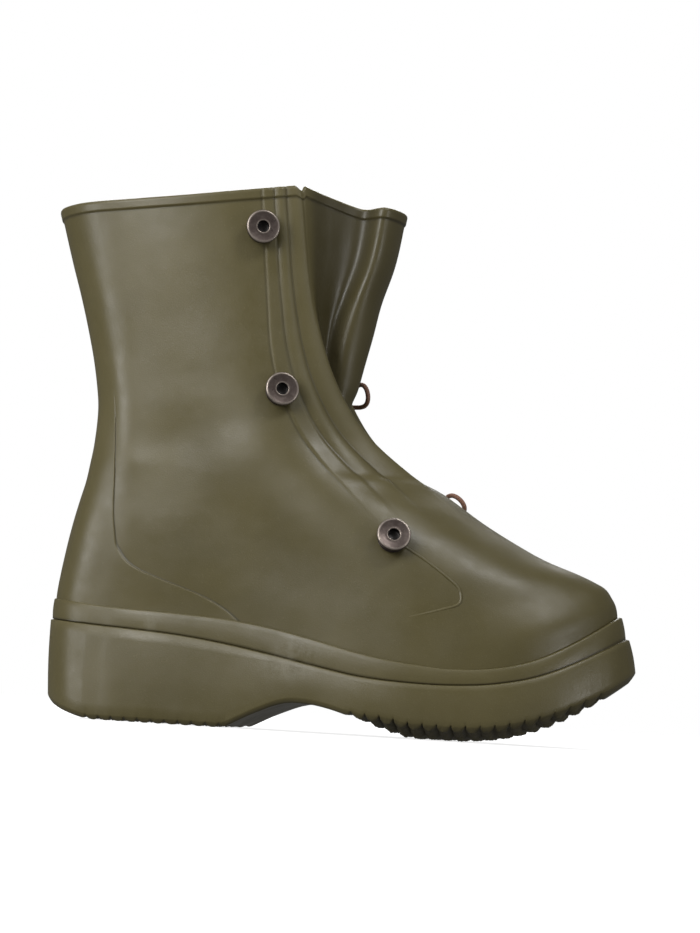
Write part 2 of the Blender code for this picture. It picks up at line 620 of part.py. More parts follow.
def cord_object(name, route, closed, frame, finish):
    """A round cord along a route in the stud's frame."""
    curve = bpy.data.curves.new(name, "CURVE")
    curve.dimensions = "3D"
    curve.bevel_depth = CORD_DIAMETER / 2 * MM
    curve.bevel_resolution = 2
    curve.use_fill_caps = not closed
    spline = curve.splines.new("POLY")
    spline.points.add(len(route) - 1)
    for point, place in zip(spline.points, route):
        point.co = (*(np.asarray(place) * MM), 1.0)
    spline.use_cyclic_u = closed
    spline.use_smooth = True
    curve.materials.append(finish)
    made = bpy.data.objects.new(name, curve)
    bpy.context.scene.collection.objects.link(made)
    made.matrix_world = frame
    return made


def loop_route(stud):
    """The free loop, out from the ferrule and back, falling with the curve of the wall."""
    start = ferrule_start() + FERRULE_LENGTH + GAP
    route = []
    for q in np.linspace(0, 1, LOOP_POINTS):
        turn = math.pi * q
        ahead = math.sin(turn) ** LOOP_ROUNDNESS
        spread = math.sin(2 * turn) * (LOOP_PINCH + (1 - LOOP_PINCH) * ahead)
        side = STRAND_OFFSET * math.cos(turn) * (1 - ahead) + LOOP_HALF_WIDTH * spread
        x = start + LOOP_LENGTH * ahead
        route.append((x, side, CORD_HEIGHT - stud.loop_fall * (x - start) ** 2))
    return route


def build_fastenings(metal, elastic, crimp):
    turn = [(ring_radius() * math.cos(a), ring_radius() * math.sin(a), CORD_HEIGHT)
            for a in np.linspace(0, 2 * math.pi, RING_SIDES, endpoint=False)]
    for stud in STUDS:
        level, place = locate(stud.x, stud.z)
        build_stud(f"stud_outer_{stud.name}", stud_frame(level, place, stud.seat, 0.0), metal)
        frame = stud_frame(level, AROUND - place, stud.seat, stud.loop_angle)
        build_stud(f"stud_inner_{stud.name}", frame, metal)
        cord_object(f"neck_cord_{stud.name}", turn, True, frame, elastic)
        build_ferrule(f"ferrule_{stud.name}", frame, crimp)
        cord_object(f"loop_{stud.name}", loop_route(stud), False, frame, elastic)


def main():
    for old in list(bpy.data.objects):
        bpy.data.objects.remove(old)
    rubber = material(RUBBER)
    build_upper(rubber)
    build_sole(rubber)
    build_fastenings(material(GUNMETAL), material(ELASTIC), material(CRIMP))


main()
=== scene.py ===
"""Looks of a moulded olive rubber overboot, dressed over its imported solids.

The upper and the sole are worked out from the boot's own sections, finer than the solids, with their
moulded lines, creases and tread. Lengths are millimetres, with x counted from the back of the heel,
until a mesh is made.
"""

import logging
import math
from dataclasses import dataclass, field
from enum import Enum

import bpy
import numpy as np
from mathutils import Matrix, Vector, noise


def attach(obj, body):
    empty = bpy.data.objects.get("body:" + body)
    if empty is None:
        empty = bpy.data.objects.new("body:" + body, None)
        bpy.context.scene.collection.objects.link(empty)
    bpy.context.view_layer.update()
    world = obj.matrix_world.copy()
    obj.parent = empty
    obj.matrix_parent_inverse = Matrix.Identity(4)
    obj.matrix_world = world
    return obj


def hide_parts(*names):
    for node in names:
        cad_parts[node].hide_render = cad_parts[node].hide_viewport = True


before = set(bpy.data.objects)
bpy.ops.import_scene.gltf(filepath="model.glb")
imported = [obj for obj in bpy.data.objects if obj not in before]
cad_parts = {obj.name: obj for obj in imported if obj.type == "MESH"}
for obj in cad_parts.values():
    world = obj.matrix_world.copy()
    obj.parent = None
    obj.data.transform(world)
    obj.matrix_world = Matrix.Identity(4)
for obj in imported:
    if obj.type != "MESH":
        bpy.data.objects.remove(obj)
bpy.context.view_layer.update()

LOG = logging.getLogger("overboot")
MM = 0.001
ORIGIN = np.array([152.5, 0.0, 0.0])
GAP = 0.35
BODY = "root"


class Side(Enum):
    """The two sides of the boot, by the sign of y."""

    OUTER = -1
    INNER = 1


class Slot(Enum):
    """The record's material slots."""

    RUBBER = "olive_rubber"
    METAL = "gunmetal"
    CORD = "elastic_cord"
    CRIMP = "crimp"


class Mark(Enum):
    """What is kept at each point of the rubber for its finish."""

    RIDGE = "ridge"
    GROOVE = "groove"
    BLOOM = "bloom"
    TREAD = "tread"


# Curves

def tangents(knots: np.ndarray, values: np.ndarray) -> np.ndarray:
    """Slopes of a smooth curve through values at uneven knots.

    Args:
        knots: places of the values, rising.
        values: one row for each knot.

    Returns:
        One row of slopes for each knot.
    """
    steps = np.diff(knots)
    slopes = np.diff(values, axis=0) / steps[:, None]
    weighed = slopes[:-1] * steps[1:, None] + slopes[1:] * steps[:-1, None]
    inner = weighed / (steps[:-1] + steps[1:])[:, None]
    return np.vstack([slopes[:1], inner, slopes[-1:]])


def smooth(knots: list[float] | np.ndarray, values: list | np.ndarray, at: float | np.ndarray) -> np.ndarray:
    """Reads the smooth curve through values at one place or at several.

    Args:
        knots: places of the values, rising.
        values: one row for each knot.
        at: where to read the curve.

    Returns:
        One row for each place.
    """
    knots = np.asarray(knots, float)
    values = np.asarray(values, float)
    at = np.clip(np.atleast_1d(np.asarray(at, float)), knots[0], knots[-1])
    slopes = tangents(knots, values)
    i = np.clip(np.searchsorted(knots, at, side="right") - 1, 0, len(knots) - 2)
    step = (knots[i + 1] - knots[i])[:, None]
    u = (at[:, None] - knots[i][:, None]) / step
    start = (2 * u**3 - 3 * u**2 + 1) * values[i] + (u**3 - 2 * u**2 + u) * step * slopes[i]
    return start + (3 * u**2 - 2 * u**3) * values[i + 1] + (u**3 - u**2) * step * slopes[i + 1]


def ease(value: float | np.ndarray) -> np.ndarray:
    """0 below 0, 1 above 1, and a smooth rise between them."""
    u = np.clip(value, 0.0, 1.0)
    return u * u * (3 - 2 * u)


def hump(offset: np.ndarray, half_width: float) -> np.ndarray:
    """A rounded hump of height 1, which is 0 past its half width."""
    return np.cos(np.clip(offset / half_width, -1, 1) * math.pi / 2) ** 2


# The boot's form

@dataclass(frozen=True)
class FootSection:
    """A nearly level section of the foot, as half widths between its back and its front."""

    back_x: float
    back_z: float
    front_x: float
    front_z: float
    follow: float
    heel: float
    waist: float
    ball: float
    edge: float
    edge_back: float


@dataclass(frozen=True)
class ShaftSection:
    """A section of the shaft, whose front folds in to a crease and out to a nose."""

    back_x: float
    back_z: float
    front_x: float
    front_z: float
    sag: float
    heel: float
    waist: float
    ball: float
    edge: float
    crease_ahead: float
    crease_half: float
    nose_ahead: float
    nose_half: float


FOOT_SECTIONS = [
    FootSection(-0.8, 54.0, 305.5, 66.0, 1.00, 32.5, 39.5, 51.0, 36, 32.0),
    FootSection(-1.4, 66.0, 306.0, 78.0, 1.00, 33.0, 40.0, 51.5, 36, 31.0),
    FootSection(0.2, 80.0, 303.0, 88.5, 0.85, 34.5, 41.0, 51.0, 34, 26.0),
    FootSection(2.2, 92.0, 296.0, 97.5, 0.65, 36.0, 41.5, 50.0, 32, 27.0),
    FootSection(4.2, 102.0, 281.0, 105.5, 0.45, 37.0, 42.0, 49.0, 29, 22.0),
    FootSection(6.4, 111.0, 257.0, 113.0, 0.25, 37.5, 42.5, 48.0, 24, 15.0),
    FootSection(8.9, 120.0, 231.0, 122.5, 0.10, 37.5, 43.0, 47.0, 17, 8.5),
    FootSection(11.6, 129.0, 208.0, 133.5, 0.00, 37.5, 43.5, 46.0, 11, 4.0),
]
SHAFT_SECTIONS = [
    ShaftSection(13.6, 139.0, 191.0, 142.5, 0, 38.0, 44.0, 45.5, 13.0, -4.0, 7.0, -4.5, 3.5),
    ShaftSection(15.2, 149.0, 176.0, 154.0, 0, 37.5, 44.5, 45.0, 18.0, -8.0, 9.0, -8.5, 4.5),
    ShaftSection(16.0, 160.0, 165.0, 165.0, 0, 37.5, 45.0, 45.0, 22.0, -9.5, 10.0, -8.0, 5.5),
    ShaftSection(15.8, 170.0, 156.5, 177.0, 0, 37.5, 45.5, 45.5, 25.0, -8.5, 10.0, -1.5, 7.5),
    ShaftSection(14.2, 182.0, 149.5, 190.0, 0, 37.5, 46.0, 46.0, 28.0, -6.5, 10.5, 8.8, 10.0),
    ShaftSection(11.5, 196.0, 143.5, 205.0, 0, 37.5, 47.0, 47.0, 30.0, -2.5, 11.0, 17.7, 12.5),
    ShaftSection(7.5, 212.0, 138.0, 222.5, 1, 38.0, 48.0, 48.0, 32.5, 4.7, 11.0, 26.7, 14.5),
    ShaftSection(2.0, 231.0, 133.5, 242.5, 2, 38.5, 49.5, 49.5, 35.0, 14.7, 11.0, 35.0, 16.5),
    ShaftSection(-4.2, 250.0, 130.5, 263.0, 3, 39.0, 51.0, 51.0, 37.0, 23.5, 11.0, 44.0, 17.5),
    ShaftSection(-13.0, 279.0, 126.5, 293.5, 4.5, 40.0, 53.0, 53.0, 39.5, 31.5, 11.0, 53.0, 18.5),
]


@dataclass(frozen=True)
class RimPoint:
    """Heights of the sole rim's upper and lower lines at one place along the boot."""

    x: float
    upper: float
    lower: float


RIM_LINE = [
    RimPoint(0, 64.6, 53.5), RimPoint(20, 62.0, 51.5), RimPoint(46, 60.0, 49.8),
    RimPoint(74, 58.8, 47.8), RimPoint(100, 57.2, 44.6), RimPoint(125, 53.8, 40.4),
    RimPoint(150, 48.6, 35.6), RimPoint(175, 42.8, 31.2), RimPoint(200, 39.0, 29.4),
    RimPoint(222, 37.5, 29.4), RimPoint(245, 39.4, 31.6), RimPoint(265, 45.0, 36.6),
    RimPoint(285, 56.0, 46.2), RimPoint(303, 69.0, 57.8), RimPoint(312, 76.5, 65.2),
]


@dataclass(frozen=True)
class Station:
    """Heights of the sole's underside and of the floor inside it at one place along the boot."""

    x: float
    bottom: float
    floor: float


STATIONS = [
    Station(-6, 11.0, 16.0), Station(12, 4.0, 15.5), Station(27, 0.0, 15.0), Station(102, 0.0, 16.0),
    Station(119, 8.5, 21.5), Station(137, 15.0, 27.0), Station(148, 15.0, 27.0), Station(164, 12.0, 24.0),
    Station(184, 4.5, 17.0), Station(202, 0.0, 13.5), Station(225, 0.0, 13.0), Station(250, 3.0, 15.5),
    Station(275, 12.0, 24.0), Station(300, 27.0, 39.0), Station(326, 46.0, 57.0),
]


@dataclass(frozen=True)
class LinePoint:
    """One point of a moulded line: a level, and its place round the section there."""

    level: float
    at: float


COUNTER_LINE = [
    LinePoint(54, 2.89), LinePoint(66, 2.89), LinePoint(72, 2.77), LinePoint(76.5, 2.63),
    LinePoint(81.5, 2.40), LinePoint(87, 2.16), LinePoint(95, 2.02), LinePoint(107, 1.94),
    LinePoint(130, 1.93), LinePoint(155, 1.88), LinePoint(174, 1.87), LinePoint(279, 1.87),
]
EYESTAY_LINE = [
    LinePoint(54, 4.17), LinePoint(66, 4.17), LinePoint(108, 4.17), LinePoint(122, 4.19),
    LinePoint(141, 4.24), LinePoint(167, 4.28), LinePoint(192, 4.33), LinePoint(222, 4.45),
    LinePoint(245, 4.50), LinePoint(279, 4.54),
]


@dataclass
class Last:
    """The form that upper and sole share: sections from the seat to the collar, and the sole's lines.

    Places round a section are counted in control points: 0 is the back, 5 the outer fold, 9 the front,
    13 the inner fold and 18 the back again.
    """

    around: float = 18.0
    front: float = 9.0
    fold: int = 5
    seat_level: float = 54.0
    rand_level: float = 66.0
    collar_level: float = 279.0
    heel_at: float = 0.12
    waist_at: float = 0.38
    ball_at: float = 0.68
    heel_corner: tuple[float, float] = (0.27, 0.66)
    panel_sag: float = 2.0
    fold_stiffness: float = 0.4
    corner_from: float = 122.0
    corner_fade: float = 14.0
    gusset_drop: float = 0.2
    gusset_reach: float = 30.0
    toe_swing: float = 5.0
    swing_from: float = 140.0
    swing_length: float = 170.0
    crown_rise: float = 6.0
    crown_flat: float = 30.0
    crown_edge: float = 58.0
    crown_from: float = 165.0
    crown_full: float = 195.0
    edge_shares: tuple[float, ...] = (1.0, 0.75, 0.5, 0.25)
    near_level: float = 0.5
    near_place: float = 0.01
    search_levels: tuple[float, float, int] = (68.0, 275.0, 60)
    search_places: tuple[float, float, int] = (2.4, 4.9, 90)
    search_step: tuple[float, float] = (0.2, 0.004)
    search_rounds: int = 8
    levels: np.ndarray = field(init=False)
    table: np.ndarray = field(init=False)

    def __post_init__(self) -> None:
        """Works out the table of sections."""
        rows = [*FOOT_SECTIONS, *SHAFT_SECTIONS]
        self.levels = np.array([row.back_z for row in rows])
        self.table = np.array([self.section_values(row) for row in rows])

    def half_outline(self, row: FootSection | ShaftSection) -> list[tuple[float, float]]:
        """Control points of one section in plan.

        Args:
            row: the section.

        Returns:
            Points from the heel's side to the side of the nose or the toe.
        """
        length = row.front_x - row.back_x
        corner_x, corner_y = self.heel_corner
        points = [
            (row.back_x + self.heel_at * corner_x * length, row.heel * corner_y),
            (row.back_x + self.heel_at * length, row.heel),
            (row.back_x + self.waist_at * length, row.waist),
            (row.back_x + self.ball_at * length, row.ball),
        ]
        if isinstance(row, FootSection):
            for share in self.edge_shares:
                points.append((row.front_x - row.edge_back * share**2, row.edge * share))
            return points
        crease = (row.front_x + row.crease_ahead, row.crease_half)
        middle_x = (row.front_x + crease[0]) / 2 - self.panel_sag
        middle = (middle_x, (row.edge + crease[1]) / 2 - self.panel_sag)
        nose_side = (row.front_x + (row.crease_ahead + row.nose_ahead) / 2, row.nose_half)
        return points + [(row.front_x, row.edge), middle, crease, nose_side]

    def section_values(self, row: FootSection | ShaftSection) -> np.ndarray:
        """One section as plain numbers.

        Args:
            row: the section.

        Returns:
            Its ends and how it follows the rim, then its control points.
        """
        half = self.half_outline(row)
        is_foot = isinstance(row, FootSection)
        follow, sag, nose = (row.follow, 0.0, 0.0) if is_foot else (0.0, row.sag, row.nose_ahead)
        outer = [(x, -y) for x, y in half]
        outline = [(row.back_x, 0.0)] + outer + [(row.front_x + nose, 0.0)] + half[::-1]
        ends = [row.back_x, row.back_z, row.front_x, row.front_z, follow, sag]
        return np.concatenate([ends, np.array(outline).ravel()])

    def section_curve(self, controls: np.ndarray, corner: float, places: np.ndarray) -> np.ndarray:
        """The closed curve through a section's control points, turning sharply at the folds.

        Args:
            controls: the control points in plan.
            corner: how sharp the folds are, from 0 to 1.
            places: where to read the curve.

        Returns:
            One point in plan for each place.
        """
        count = len(controls)
        ahead = np.roll(controls, -1, axis=0) - controls
        chords = np.linalg.norm(ahead, axis=1)[:, None]
        slopes = ahead / chords
        before, chords_before = np.roll(slopes, 1, axis=0), np.roll(chords, 1, axis=0)
        middle = (before * chords + slopes * chords_before) / (chords + chords_before)
        arrive, leave = middle.copy(), middle.copy()
        for fold in (self.fold, count - self.fold):
            straight_in = before[fold] + self.fold_stiffness * (before[fold] - middle[fold - 1])
            straight_out = slopes[fold] + self.fold_stiffness * (slopes[fold] - middle[(fold + 1) % count])
            arrive[fold] = middle[fold] * (1 - corner) + straight_in * corner
            leave[fold] = middle[fold] * (1 - corner) + straight_out * corner
        places = np.mod(np.asarray(places, float), count)
        i = places.astype(int)
        k = (i + 1) % count
        u = (places - i)[:, None]
        start = (2 * u**3 - 3 * u**2 + 1) * controls[i] + (u**3 - 2 * u**2 + u) * chords[i] * leave[i]
        return start + (3 * u**2 - 2 * u**3) * controls[k] + (u**3 - u**2) * chords[i] * arrive[k]

    def swing(self, x: np.ndarray) -> np.ndarray:
        """How far the forepart turns to the inner side."""
        return self.toe_swing * ease((np.asarray(x, float) - self.swing_from) / self.swing_length)

    def crown(self, x: np.ndarray, y: np.ndarray) -> np.ndarray:
        """How far the forepart's tread has risen towards its edges.

        Args:
            x: places along the boot.
            y: places across it.

        Returns:
            A rise for each point.
        """
        beside = np.abs(y - self.swing(x)) - self.crown_flat
        across = np.clip(beside / (self.crown_edge - self.crown_flat), 0, None)
        along = (np.asarray(x, float) - self.crown_from) / (self.crown_full - self.crown_from)
        return self.crown_rise * across * ease(along)

    def rim(self, x: np.ndarray) -> tuple[np.ndarray, np.ndarray]:
        """Heights of the sole rim's upper and lower lines at each x."""
        found = smooth([r.x for r in RIM_LINE], [[r.upper, r.lower] for r in RIM_LINE], x)
        return found[:, 0], found[:, 1]

    def profile(self, x: np.ndarray) -> tuple[np.ndarray, np.ndarray]:
        """Heights of the sole's underside and of the floor inside it.

        Args:
            x: places along the boot.

        Returns:
            The heights of both at each place.
        """
        found = smooth([s.x for s in STATIONS], [[s.bottom, s.floor] for s in STATIONS], x)
        x = np.atleast_1d(x)
        for low, high in zip(STATIONS, STATIONS[1:]):
            if low.bottom == high.bottom == 0:
                found[(x >= low.x) & (x <= high.x), 0] = 0.0
        return np.maximum(found[:, 0], 0.0), found[:, 1]

    def underside(self, x: np.ndarray, y: np.ndarray) -> np.ndarray:
        """Height of the sole's underside at each point, without its grooves."""
        return self.profile(x)[0] + self.crown(x, y)

    def ring(self, level: float, places: np.ndarray) -> np.ndarray:
        """Points of the upper's outside at one level.

        Args:
            level: height of the section at the back of the boot.
            places: where to read it, counted in control points.

        Returns:
            One point for each place.
        """
        values = smooth(self.levels, self.table, level)[0]
        (back_x, back_z, front_x, front_z, follow, sag), controls = values[:6], values[6:].reshape(-1, 2)
        corner = float(ease((level - self.corner_from) / self.corner_fade))
        x, y = self.section_curve(controls, corner, places).T
        along = (x - back_x) / (front_x - back_x)
        z = back_z + (front_z - back_z) * np.minimum(along, 1) - sag * np.sin(np.pi * np.clip(along, 0, 1))
        z = z - self.gusset_drop * np.clip(x - front_x, 0, self.gusset_reach)
        rand = FOOT_SECTIONS[1]
        z = z - follow * (rand.back_z + (rand.front_z - rand.back_z) * along - self.rim(x)[0])
        return np.column_stack([x, y + self.swing(x), z])

    def outward(self, level: float, places: np.ndarray) -> np.ndarray:
        """Unit normals of the upper's outside at one level.

        Args:
            level: the section's level.
            places: places round it.

        Returns:
            One normal for each place.
        """
        places = np.asarray(places, float)
        lower = max(level - self.near_level, self.seat_level)
        upper = min(level + self.near_level, self.collar_level)
        along = self.ring(level, places + self.near_place) - self.ring(level, places - self.near_place)
        up = self.ring(upper, places) - self.ring(lower, places)
        normals = np.cross(along, up)
        return normals / np.linalg.norm(normals, axis=1)[:, None]

    def line_at(self, line: list[LinePoint], level: float) -> float:
        """Place of a moulded line at one level."""
        return float(smooth([p.level for p in line], [[p.at] for p in line], level)[0, 0])

    def locate(self, x: float, z: float) -> tuple[float, float]:
        """Level and place of a point on the outer side.

        Args:
            x: its place along the boot in side view.
            z: its height in side view.

        Returns:
            Its level and its place round the section.
        """
        levels, places = np.linspace(*self.search_levels), np.linspace(*self.search_places)
        grid = np.array([self.ring(level, places) for level in levels])
        far = (grid[:, :, 0] - x) ** 2 + (grid[:, :, 2] - z) ** 2
        i, j = np.unravel_index(np.argmin(far), far.shape)
        found = np.array([levels[i], places[j]])
        up, aside = self.search_step
        for _ in range(self.search_rounds):
            level, place = found
            here = self.ring(level, [place])[0][[0, 2]]
            by_level = (self.ring(level + up, [place])[0][[0, 2]] - here) / up
            by_place = (self.ring(level, [place + aside])[0][[0, 2]] - here) / aside
            found = found + np.linalg.solve(np.column_stack([by_level, by_place]), np.array([x, z]) - here)
        return float(found[0]), float(found[1])


# Meshes

def strip_faces(first: int, second: int, count: int) -> list[tuple[int, ...]]:
    """Quads between two closed rings of points.

    Args:
        first: index of the first ring's first point.
        second: index of the second ring's first point.
        count: points in each ring.

    Returns:
        The faces.
    """
    ahead = [(j + 1) % count for j in range(count)]
    return [(first + j, first + ahead[j], second + ahead[j], second + j) for j in range(count)]


def plan_normals(points: np.ndarray) -> np.ndarray:
    """Outward directions in plan of a closed ring.

    Args:
        points: the ring's points.

    Returns:
        One unit direction for each point, with no height.
    """
    along = np.roll(points, -1, axis=0) - np.roll(points, 1, axis=0)
    normals = np.column_stack([along[:, 1], -along[:, 0]])
    normals = normals / np.linalg.norm(normals, axis=1)[:, None]
    return np.column_stack([normals, np.zeros(len(points))])


def add_piece(name: str, points: np.ndarray, faces: list, finish: bpy.types.Material,
              smooth_angle: float = 40.0) -> bpy.types.Object:
    """Makes a mesh piece that rides with the boot.

    Args:
        name: the piece's name.
        points: its points in millimetres, in the boot's frame.
        faces: its faces.
        finish: its material.
        smooth_angle: edges that turn more than this stay sharp, in degrees.

    Returns:
        The new object.
    """
    mesh = bpy.data.meshes.new(name)
    mesh.from_pydata([tuple(p) for p in np.asarray(points, float) * MM], [], faces)
    mesh.update()
    mesh.shade_smooth()
    mesh.set_sharp_from_angle(angle=math.radians(smooth_angle))
    mesh.materials.append(finish)
    made = bpy.data.objects.new(name, mesh)
    bpy.context.scene.collection.objects.link(made)
    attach(made, BODY)
    LOG.info("%s: %d faces", name, len(faces))
    return made


def keep_marks(made: bpy.types.Object, marks: dict[Mark, np.ndarray]) -> None:
    """Keeps values at each point of a mesh, for its finish.

    Args:
        made: the piece.
        marks: values from 0 to 1, one for each point.
    """
    for mark, values in marks.items():
        kept = made.data.attributes.new(mark.value, "FLOAT", "POINT")
        kept.data.foreach_set("value", np.asarray(values, np.float32))


# Finishes

class Graph:
    """The node tree of one material, with short calls to add and join nodes."""

    def __init__(self, name: str) -> None:
        """Starts a material with its shader.

        Args:
            name: the material's name.
        """
        self.material = bpy.data.materials.new(name)
        self.material.use_nodes = True
        self.nodes = self.material.node_tree.nodes
        self.links = self.material.node_tree.links
        self.shader = self.nodes["Principled BSDF"]

    def add(self, kind: str, **values: object) -> bpy.types.Node:
        """Adds a node.

        Args:
            kind: the node's type, without its ShaderNode prefix.
            values: properties of the node, or values of its sockets by name with _ for a space.

        Returns:
            The node.
        """
        made = self.nodes.new("ShaderNode" + kind)
        for name, value in values.items():
            if hasattr(made, name):
                setattr(made, name, value)
            else:
                made.inputs[name.replace("_", " ")].default_value = value
        return made

    def join(self, output: bpy.types.NodeSocket, target: bpy.types.NodeSocket) -> None:
        """Links two sockets."""
        self.links.new(output, target)

    def noise(self, scale: float, detail: float, roughness: float = 0.5) -> bpy.types.NodeSocket:
        """Noise in the boot's own space.

        Args:
            scale: features per metre.
            detail: how many finer layers it has.
            roughness: how strong those layers are.

        Returns:
            Its value.
        """
        place = self.add("TexCoord").outputs["Object"]
        made = self.add("TexNoise", Scale=scale, Detail=detail, Roughness=roughness)
        self.join(place, made.inputs["Vector"])
        return made.outputs["Fac"]

    def mark(self, mark: Mark) -> bpy.types.NodeSocket:
        """A value that the mesh keeps at each point."""
        return self.add("Attribute", attribute_name=mark.value).outputs["Fac"]

    def range(self, value: bpy.types.NodeSocket, low: float, high: float, to_low: float = 0.0,
              to_high: float = 1.0) -> bpy.types.NodeSocket:
        """Maps a value from one range to another, held at the ends.

        Args:
            value: the value.
            low: start of its range.
            high: end of its range.
            to_low: start of the new range.
            to_high: end of the new range.

        Returns:
            The new value.
        """
        made = self.add("MapRange", clamp=True)
        names = ("From Min", "From Max", "To Min", "To Max")
        for name, number in zip(names, (low, high, to_low, to_high)):
            made.inputs[name].default_value = number
        self.join(value, made.inputs["Value"])
        return made.outputs["Result"]

    def math(self, operation: str, first: bpy.types.NodeSocket,
             second: bpy.types.NodeSocket | float) -> bpy.types.NodeSocket:
        """Joins two values by one operation.

        Args:
            operation: the Math node's operation.
            first: the first value.
            second: the second value, or a number.

        Returns:
            The result.
        """
        made = self.add("Math", operation=operation)
        self.join(first, made.inputs[0])
        if isinstance(second, float):
            made.inputs[1].default_value = second
        else:
            self.join(second, made.inputs[1])
        return made.outputs["Value"]

    def blend(self, share: bpy.types.NodeSocket, first: bpy.types.NodeSocket | tuple,
              second: bpy.types.NodeSocket | tuple) -> bpy.types.NodeSocket:
        """Mixes two colours by a share.

        Args:
            share: how much of the second colour shows.
            first: the colour underneath.
            second: the colour on top.

        Returns:
            The mixed colour.
        """
        made = self.add("Mix", data_type="RGBA")
        self.join(share, made.inputs["Factor"])
        for value, socket in ((first, made.inputs[6]), (second, made.inputs[7])):
            if isinstance(value, tuple):
                socket.default_value = (*value, 1.0)
            else:
                self.join(value, socket)
        return made.outputs[2]

    def bump(self, height: bpy.types.NodeSocket, strength: float, distance: float,
             under: bpy.types.NodeSocket | None = None) -> bpy.types.NodeSocket:
        """A bump by height.

        Args:
            height: the height.
            strength: how much of it is used.
            distance: its full height in metres.
            under: another bump that it lies on.

        Returns:
            The normal.
        """
        made = self.add("Bump", Strength=strength, Distance=distance)
        self.join(height, made.inputs["Height"])
        if under is not None:
            self.join(under, made.inputs["Normal"])
        return made.outputs["Normal"]


@dataclass(frozen=True)
class RubberFinish:
    """Moulded satin olive rubber: ridges lighter by wear and painted highlight, painted shade along lines,
    steps and the gusset, darker tread grooves and a dusty bloom.
    """

    olive: tuple[float, float, float] = (0.112, 0.094, 0.038)
    olive_deep: tuple[float, float, float] = (0.092, 0.077, 0.030)
    worn_and_highlight: tuple[float, float, float] = (0.200, 0.175, 0.092)
    dark: tuple[float, float, float] = (0.040, 0.033, 0.014)
    dust: tuple[float, float, float] = (0.27, 0.25, 0.19)
    speck_share: float = 0.22
    ridge_share: float = 0.45
    groove_share: float = 0.85
    tread_share: float = 0.5
    roughness: float = 0.37
    smoother: float = 0.06
    rougher: float = 0.1
    bloom_rough: float = 0.3
    tread_rough: float = 0.22
    specular: float = 0.5

    def material(self) -> bpy.types.Material:
        """Builds the material.

        Returns:
            The new material.
        """
        graph = Graph("olive_rubber_finish")
        cloud = graph.range(graph.noise(scale=120.0, detail=6.0, roughness=0.7), low=0.42, high=0.72)
        bloom = graph.math("MULTIPLY", graph.mark(Mark.BLOOM), cloud)
        graph.join(self.colour(graph, bloom), graph.shader.inputs["Base Color"])
        satin = graph.noise(scale=55.0, detail=5.0, roughness=0.6)
        rough = graph.range(satin, low=0.3, high=0.75, to_low=self.roughness - self.smoother,
                            to_high=self.roughness + self.rougher)
        rough = graph.math("ADD", rough, graph.math("MULTIPLY", bloom, self.bloom_rough))
        tread = graph.math("MULTIPLY", graph.mark(Mark.TREAD), self.tread_rough)
        graph.join(graph.math("ADD", rough, tread), graph.shader.inputs["Roughness"])
        graph.shader.inputs["Specular IOR Level"].default_value = self.specular
        waves = graph.bump(graph.noise(scale=38.0, detail=2.0), strength=0.10, distance=0.004)
        grain = graph.noise(scale=1500.0, detail=3.0, roughness=0.6)
        grain = graph.bump(grain, strength=0.16, distance=0.0004, under=waves)
        graph.join(grain, graph.shader.inputs["Normal"])
        return graph.material

    def colour(self, graph: Graph, bloom: bpy.types.NodeSocket) -> bpy.types.NodeSocket:
        """The rubber's colour: mottled olive, then specks, ridges lighter by wear and painted highlight,
        groove marks darker (painted shade on the upper and the sole's steps, plain darkening in the tread's
        grooves and pits), bloom and tread.

        Args:
            graph: the material's node tree.
            bloom: how much dusty bloom lies on the rubber.

        Returns:
            The colour.
        """
        mottle = graph.range(graph.noise(scale=16.0, detail=4.0, roughness=0.55), low=0.35, high=0.68)
        speck = graph.noise(scale=900.0, detail=2.0)
        speck = graph.range(speck, low=0.62, high=0.78, to_high=self.speck_share)
        colour = graph.blend(mottle, self.olive_deep, self.olive)
        colour = graph.blend(speck, colour, self.worn_and_highlight)
        # Ridge marks paint edges and crests lighter for wear and painted highlight; groove marks paint shade
        # into lines, steps and the gusset, and darken the tread's grooves and pits.
        ridge = graph.math("MULTIPLY", graph.mark(Mark.RIDGE), self.ridge_share)
        groove = graph.math("MULTIPLY", graph.mark(Mark.GROOVE), self.groove_share)
        tread = graph.math("MULTIPLY", graph.mark(Mark.TREAD), self.tread_share)
        colour = graph.blend(groove, graph.blend(ridge, colour, self.worn_and_highlight), self.dark)
        return graph.blend(tread, graph.blend(bloom, colour, self.dust), self.olive_deep)


@dataclass(frozen=True)
class MetalFinish:
    """Dark lacquered metal, with a light rub and painted sheen on its raised edges, and painted shade in its
    recesses.
    """

    name: str
    base: tuple[float, float, float]
    rub_and_sheen: tuple[float, float, float]
    roughness: float
    metallic: float
    recess_dark: tuple[float, float, float] = (0.012, 0.010, 0.009)
    rub_share: float = 0.22
    smoother: float = 0.06
    rougher: float = 0.1

    def material(self) -> bpy.types.Material:
        """Builds the material.

        Returns:
            The new material.
        """
        graph = Graph(self.name)
        rub = graph.noise(scale=420.0, detail=5.0, roughness=0.65)
        rub = graph.range(rub, low=0.45, high=0.8, to_high=self.rub_share)
        # Raised edges get rub and painted sheen; recesses get painted shade.
        edge = graph.math("MAXIMUM", graph.mark(Mark.RIDGE), rub)
        colour = graph.blend(edge, self.base, self.rub_and_sheen)
        colour = graph.blend(graph.mark(Mark.GROOVE), colour, self.recess_dark)
        graph.join(colour, graph.shader.inputs["Base Color"])
        lacquer = graph.noise(scale=260.0, detail=4.0)
        rough = graph.range(lacquer, low=0.3, high=0.7, to_low=self.roughness - self.smoother,
                            to_high=self.roughness + self.rougher)
        graph.join(rough, graph.shader.inputs["Roughness"])
        graph.shader.inputs["Metallic"].default_value = self.metallic
        grain = graph.bump(graph.noise(scale=1800.0, detail=2.0), strength=0.08, distance=0.0003)
        graph.join(grain, graph.shader.inputs["Normal"])
        return graph.material


GUNMETAL = MetalFinish("gunmetal_finish", (0.098, 0.075, 0.066), (0.34, 0.29, 0.25), 0.31, 0.65)
DARK_CRIMP = MetalFinish("crimp_finish", (0.026, 0.021, 0.019), (0.12, 0.10, 0.09), 0.42, 0.45)


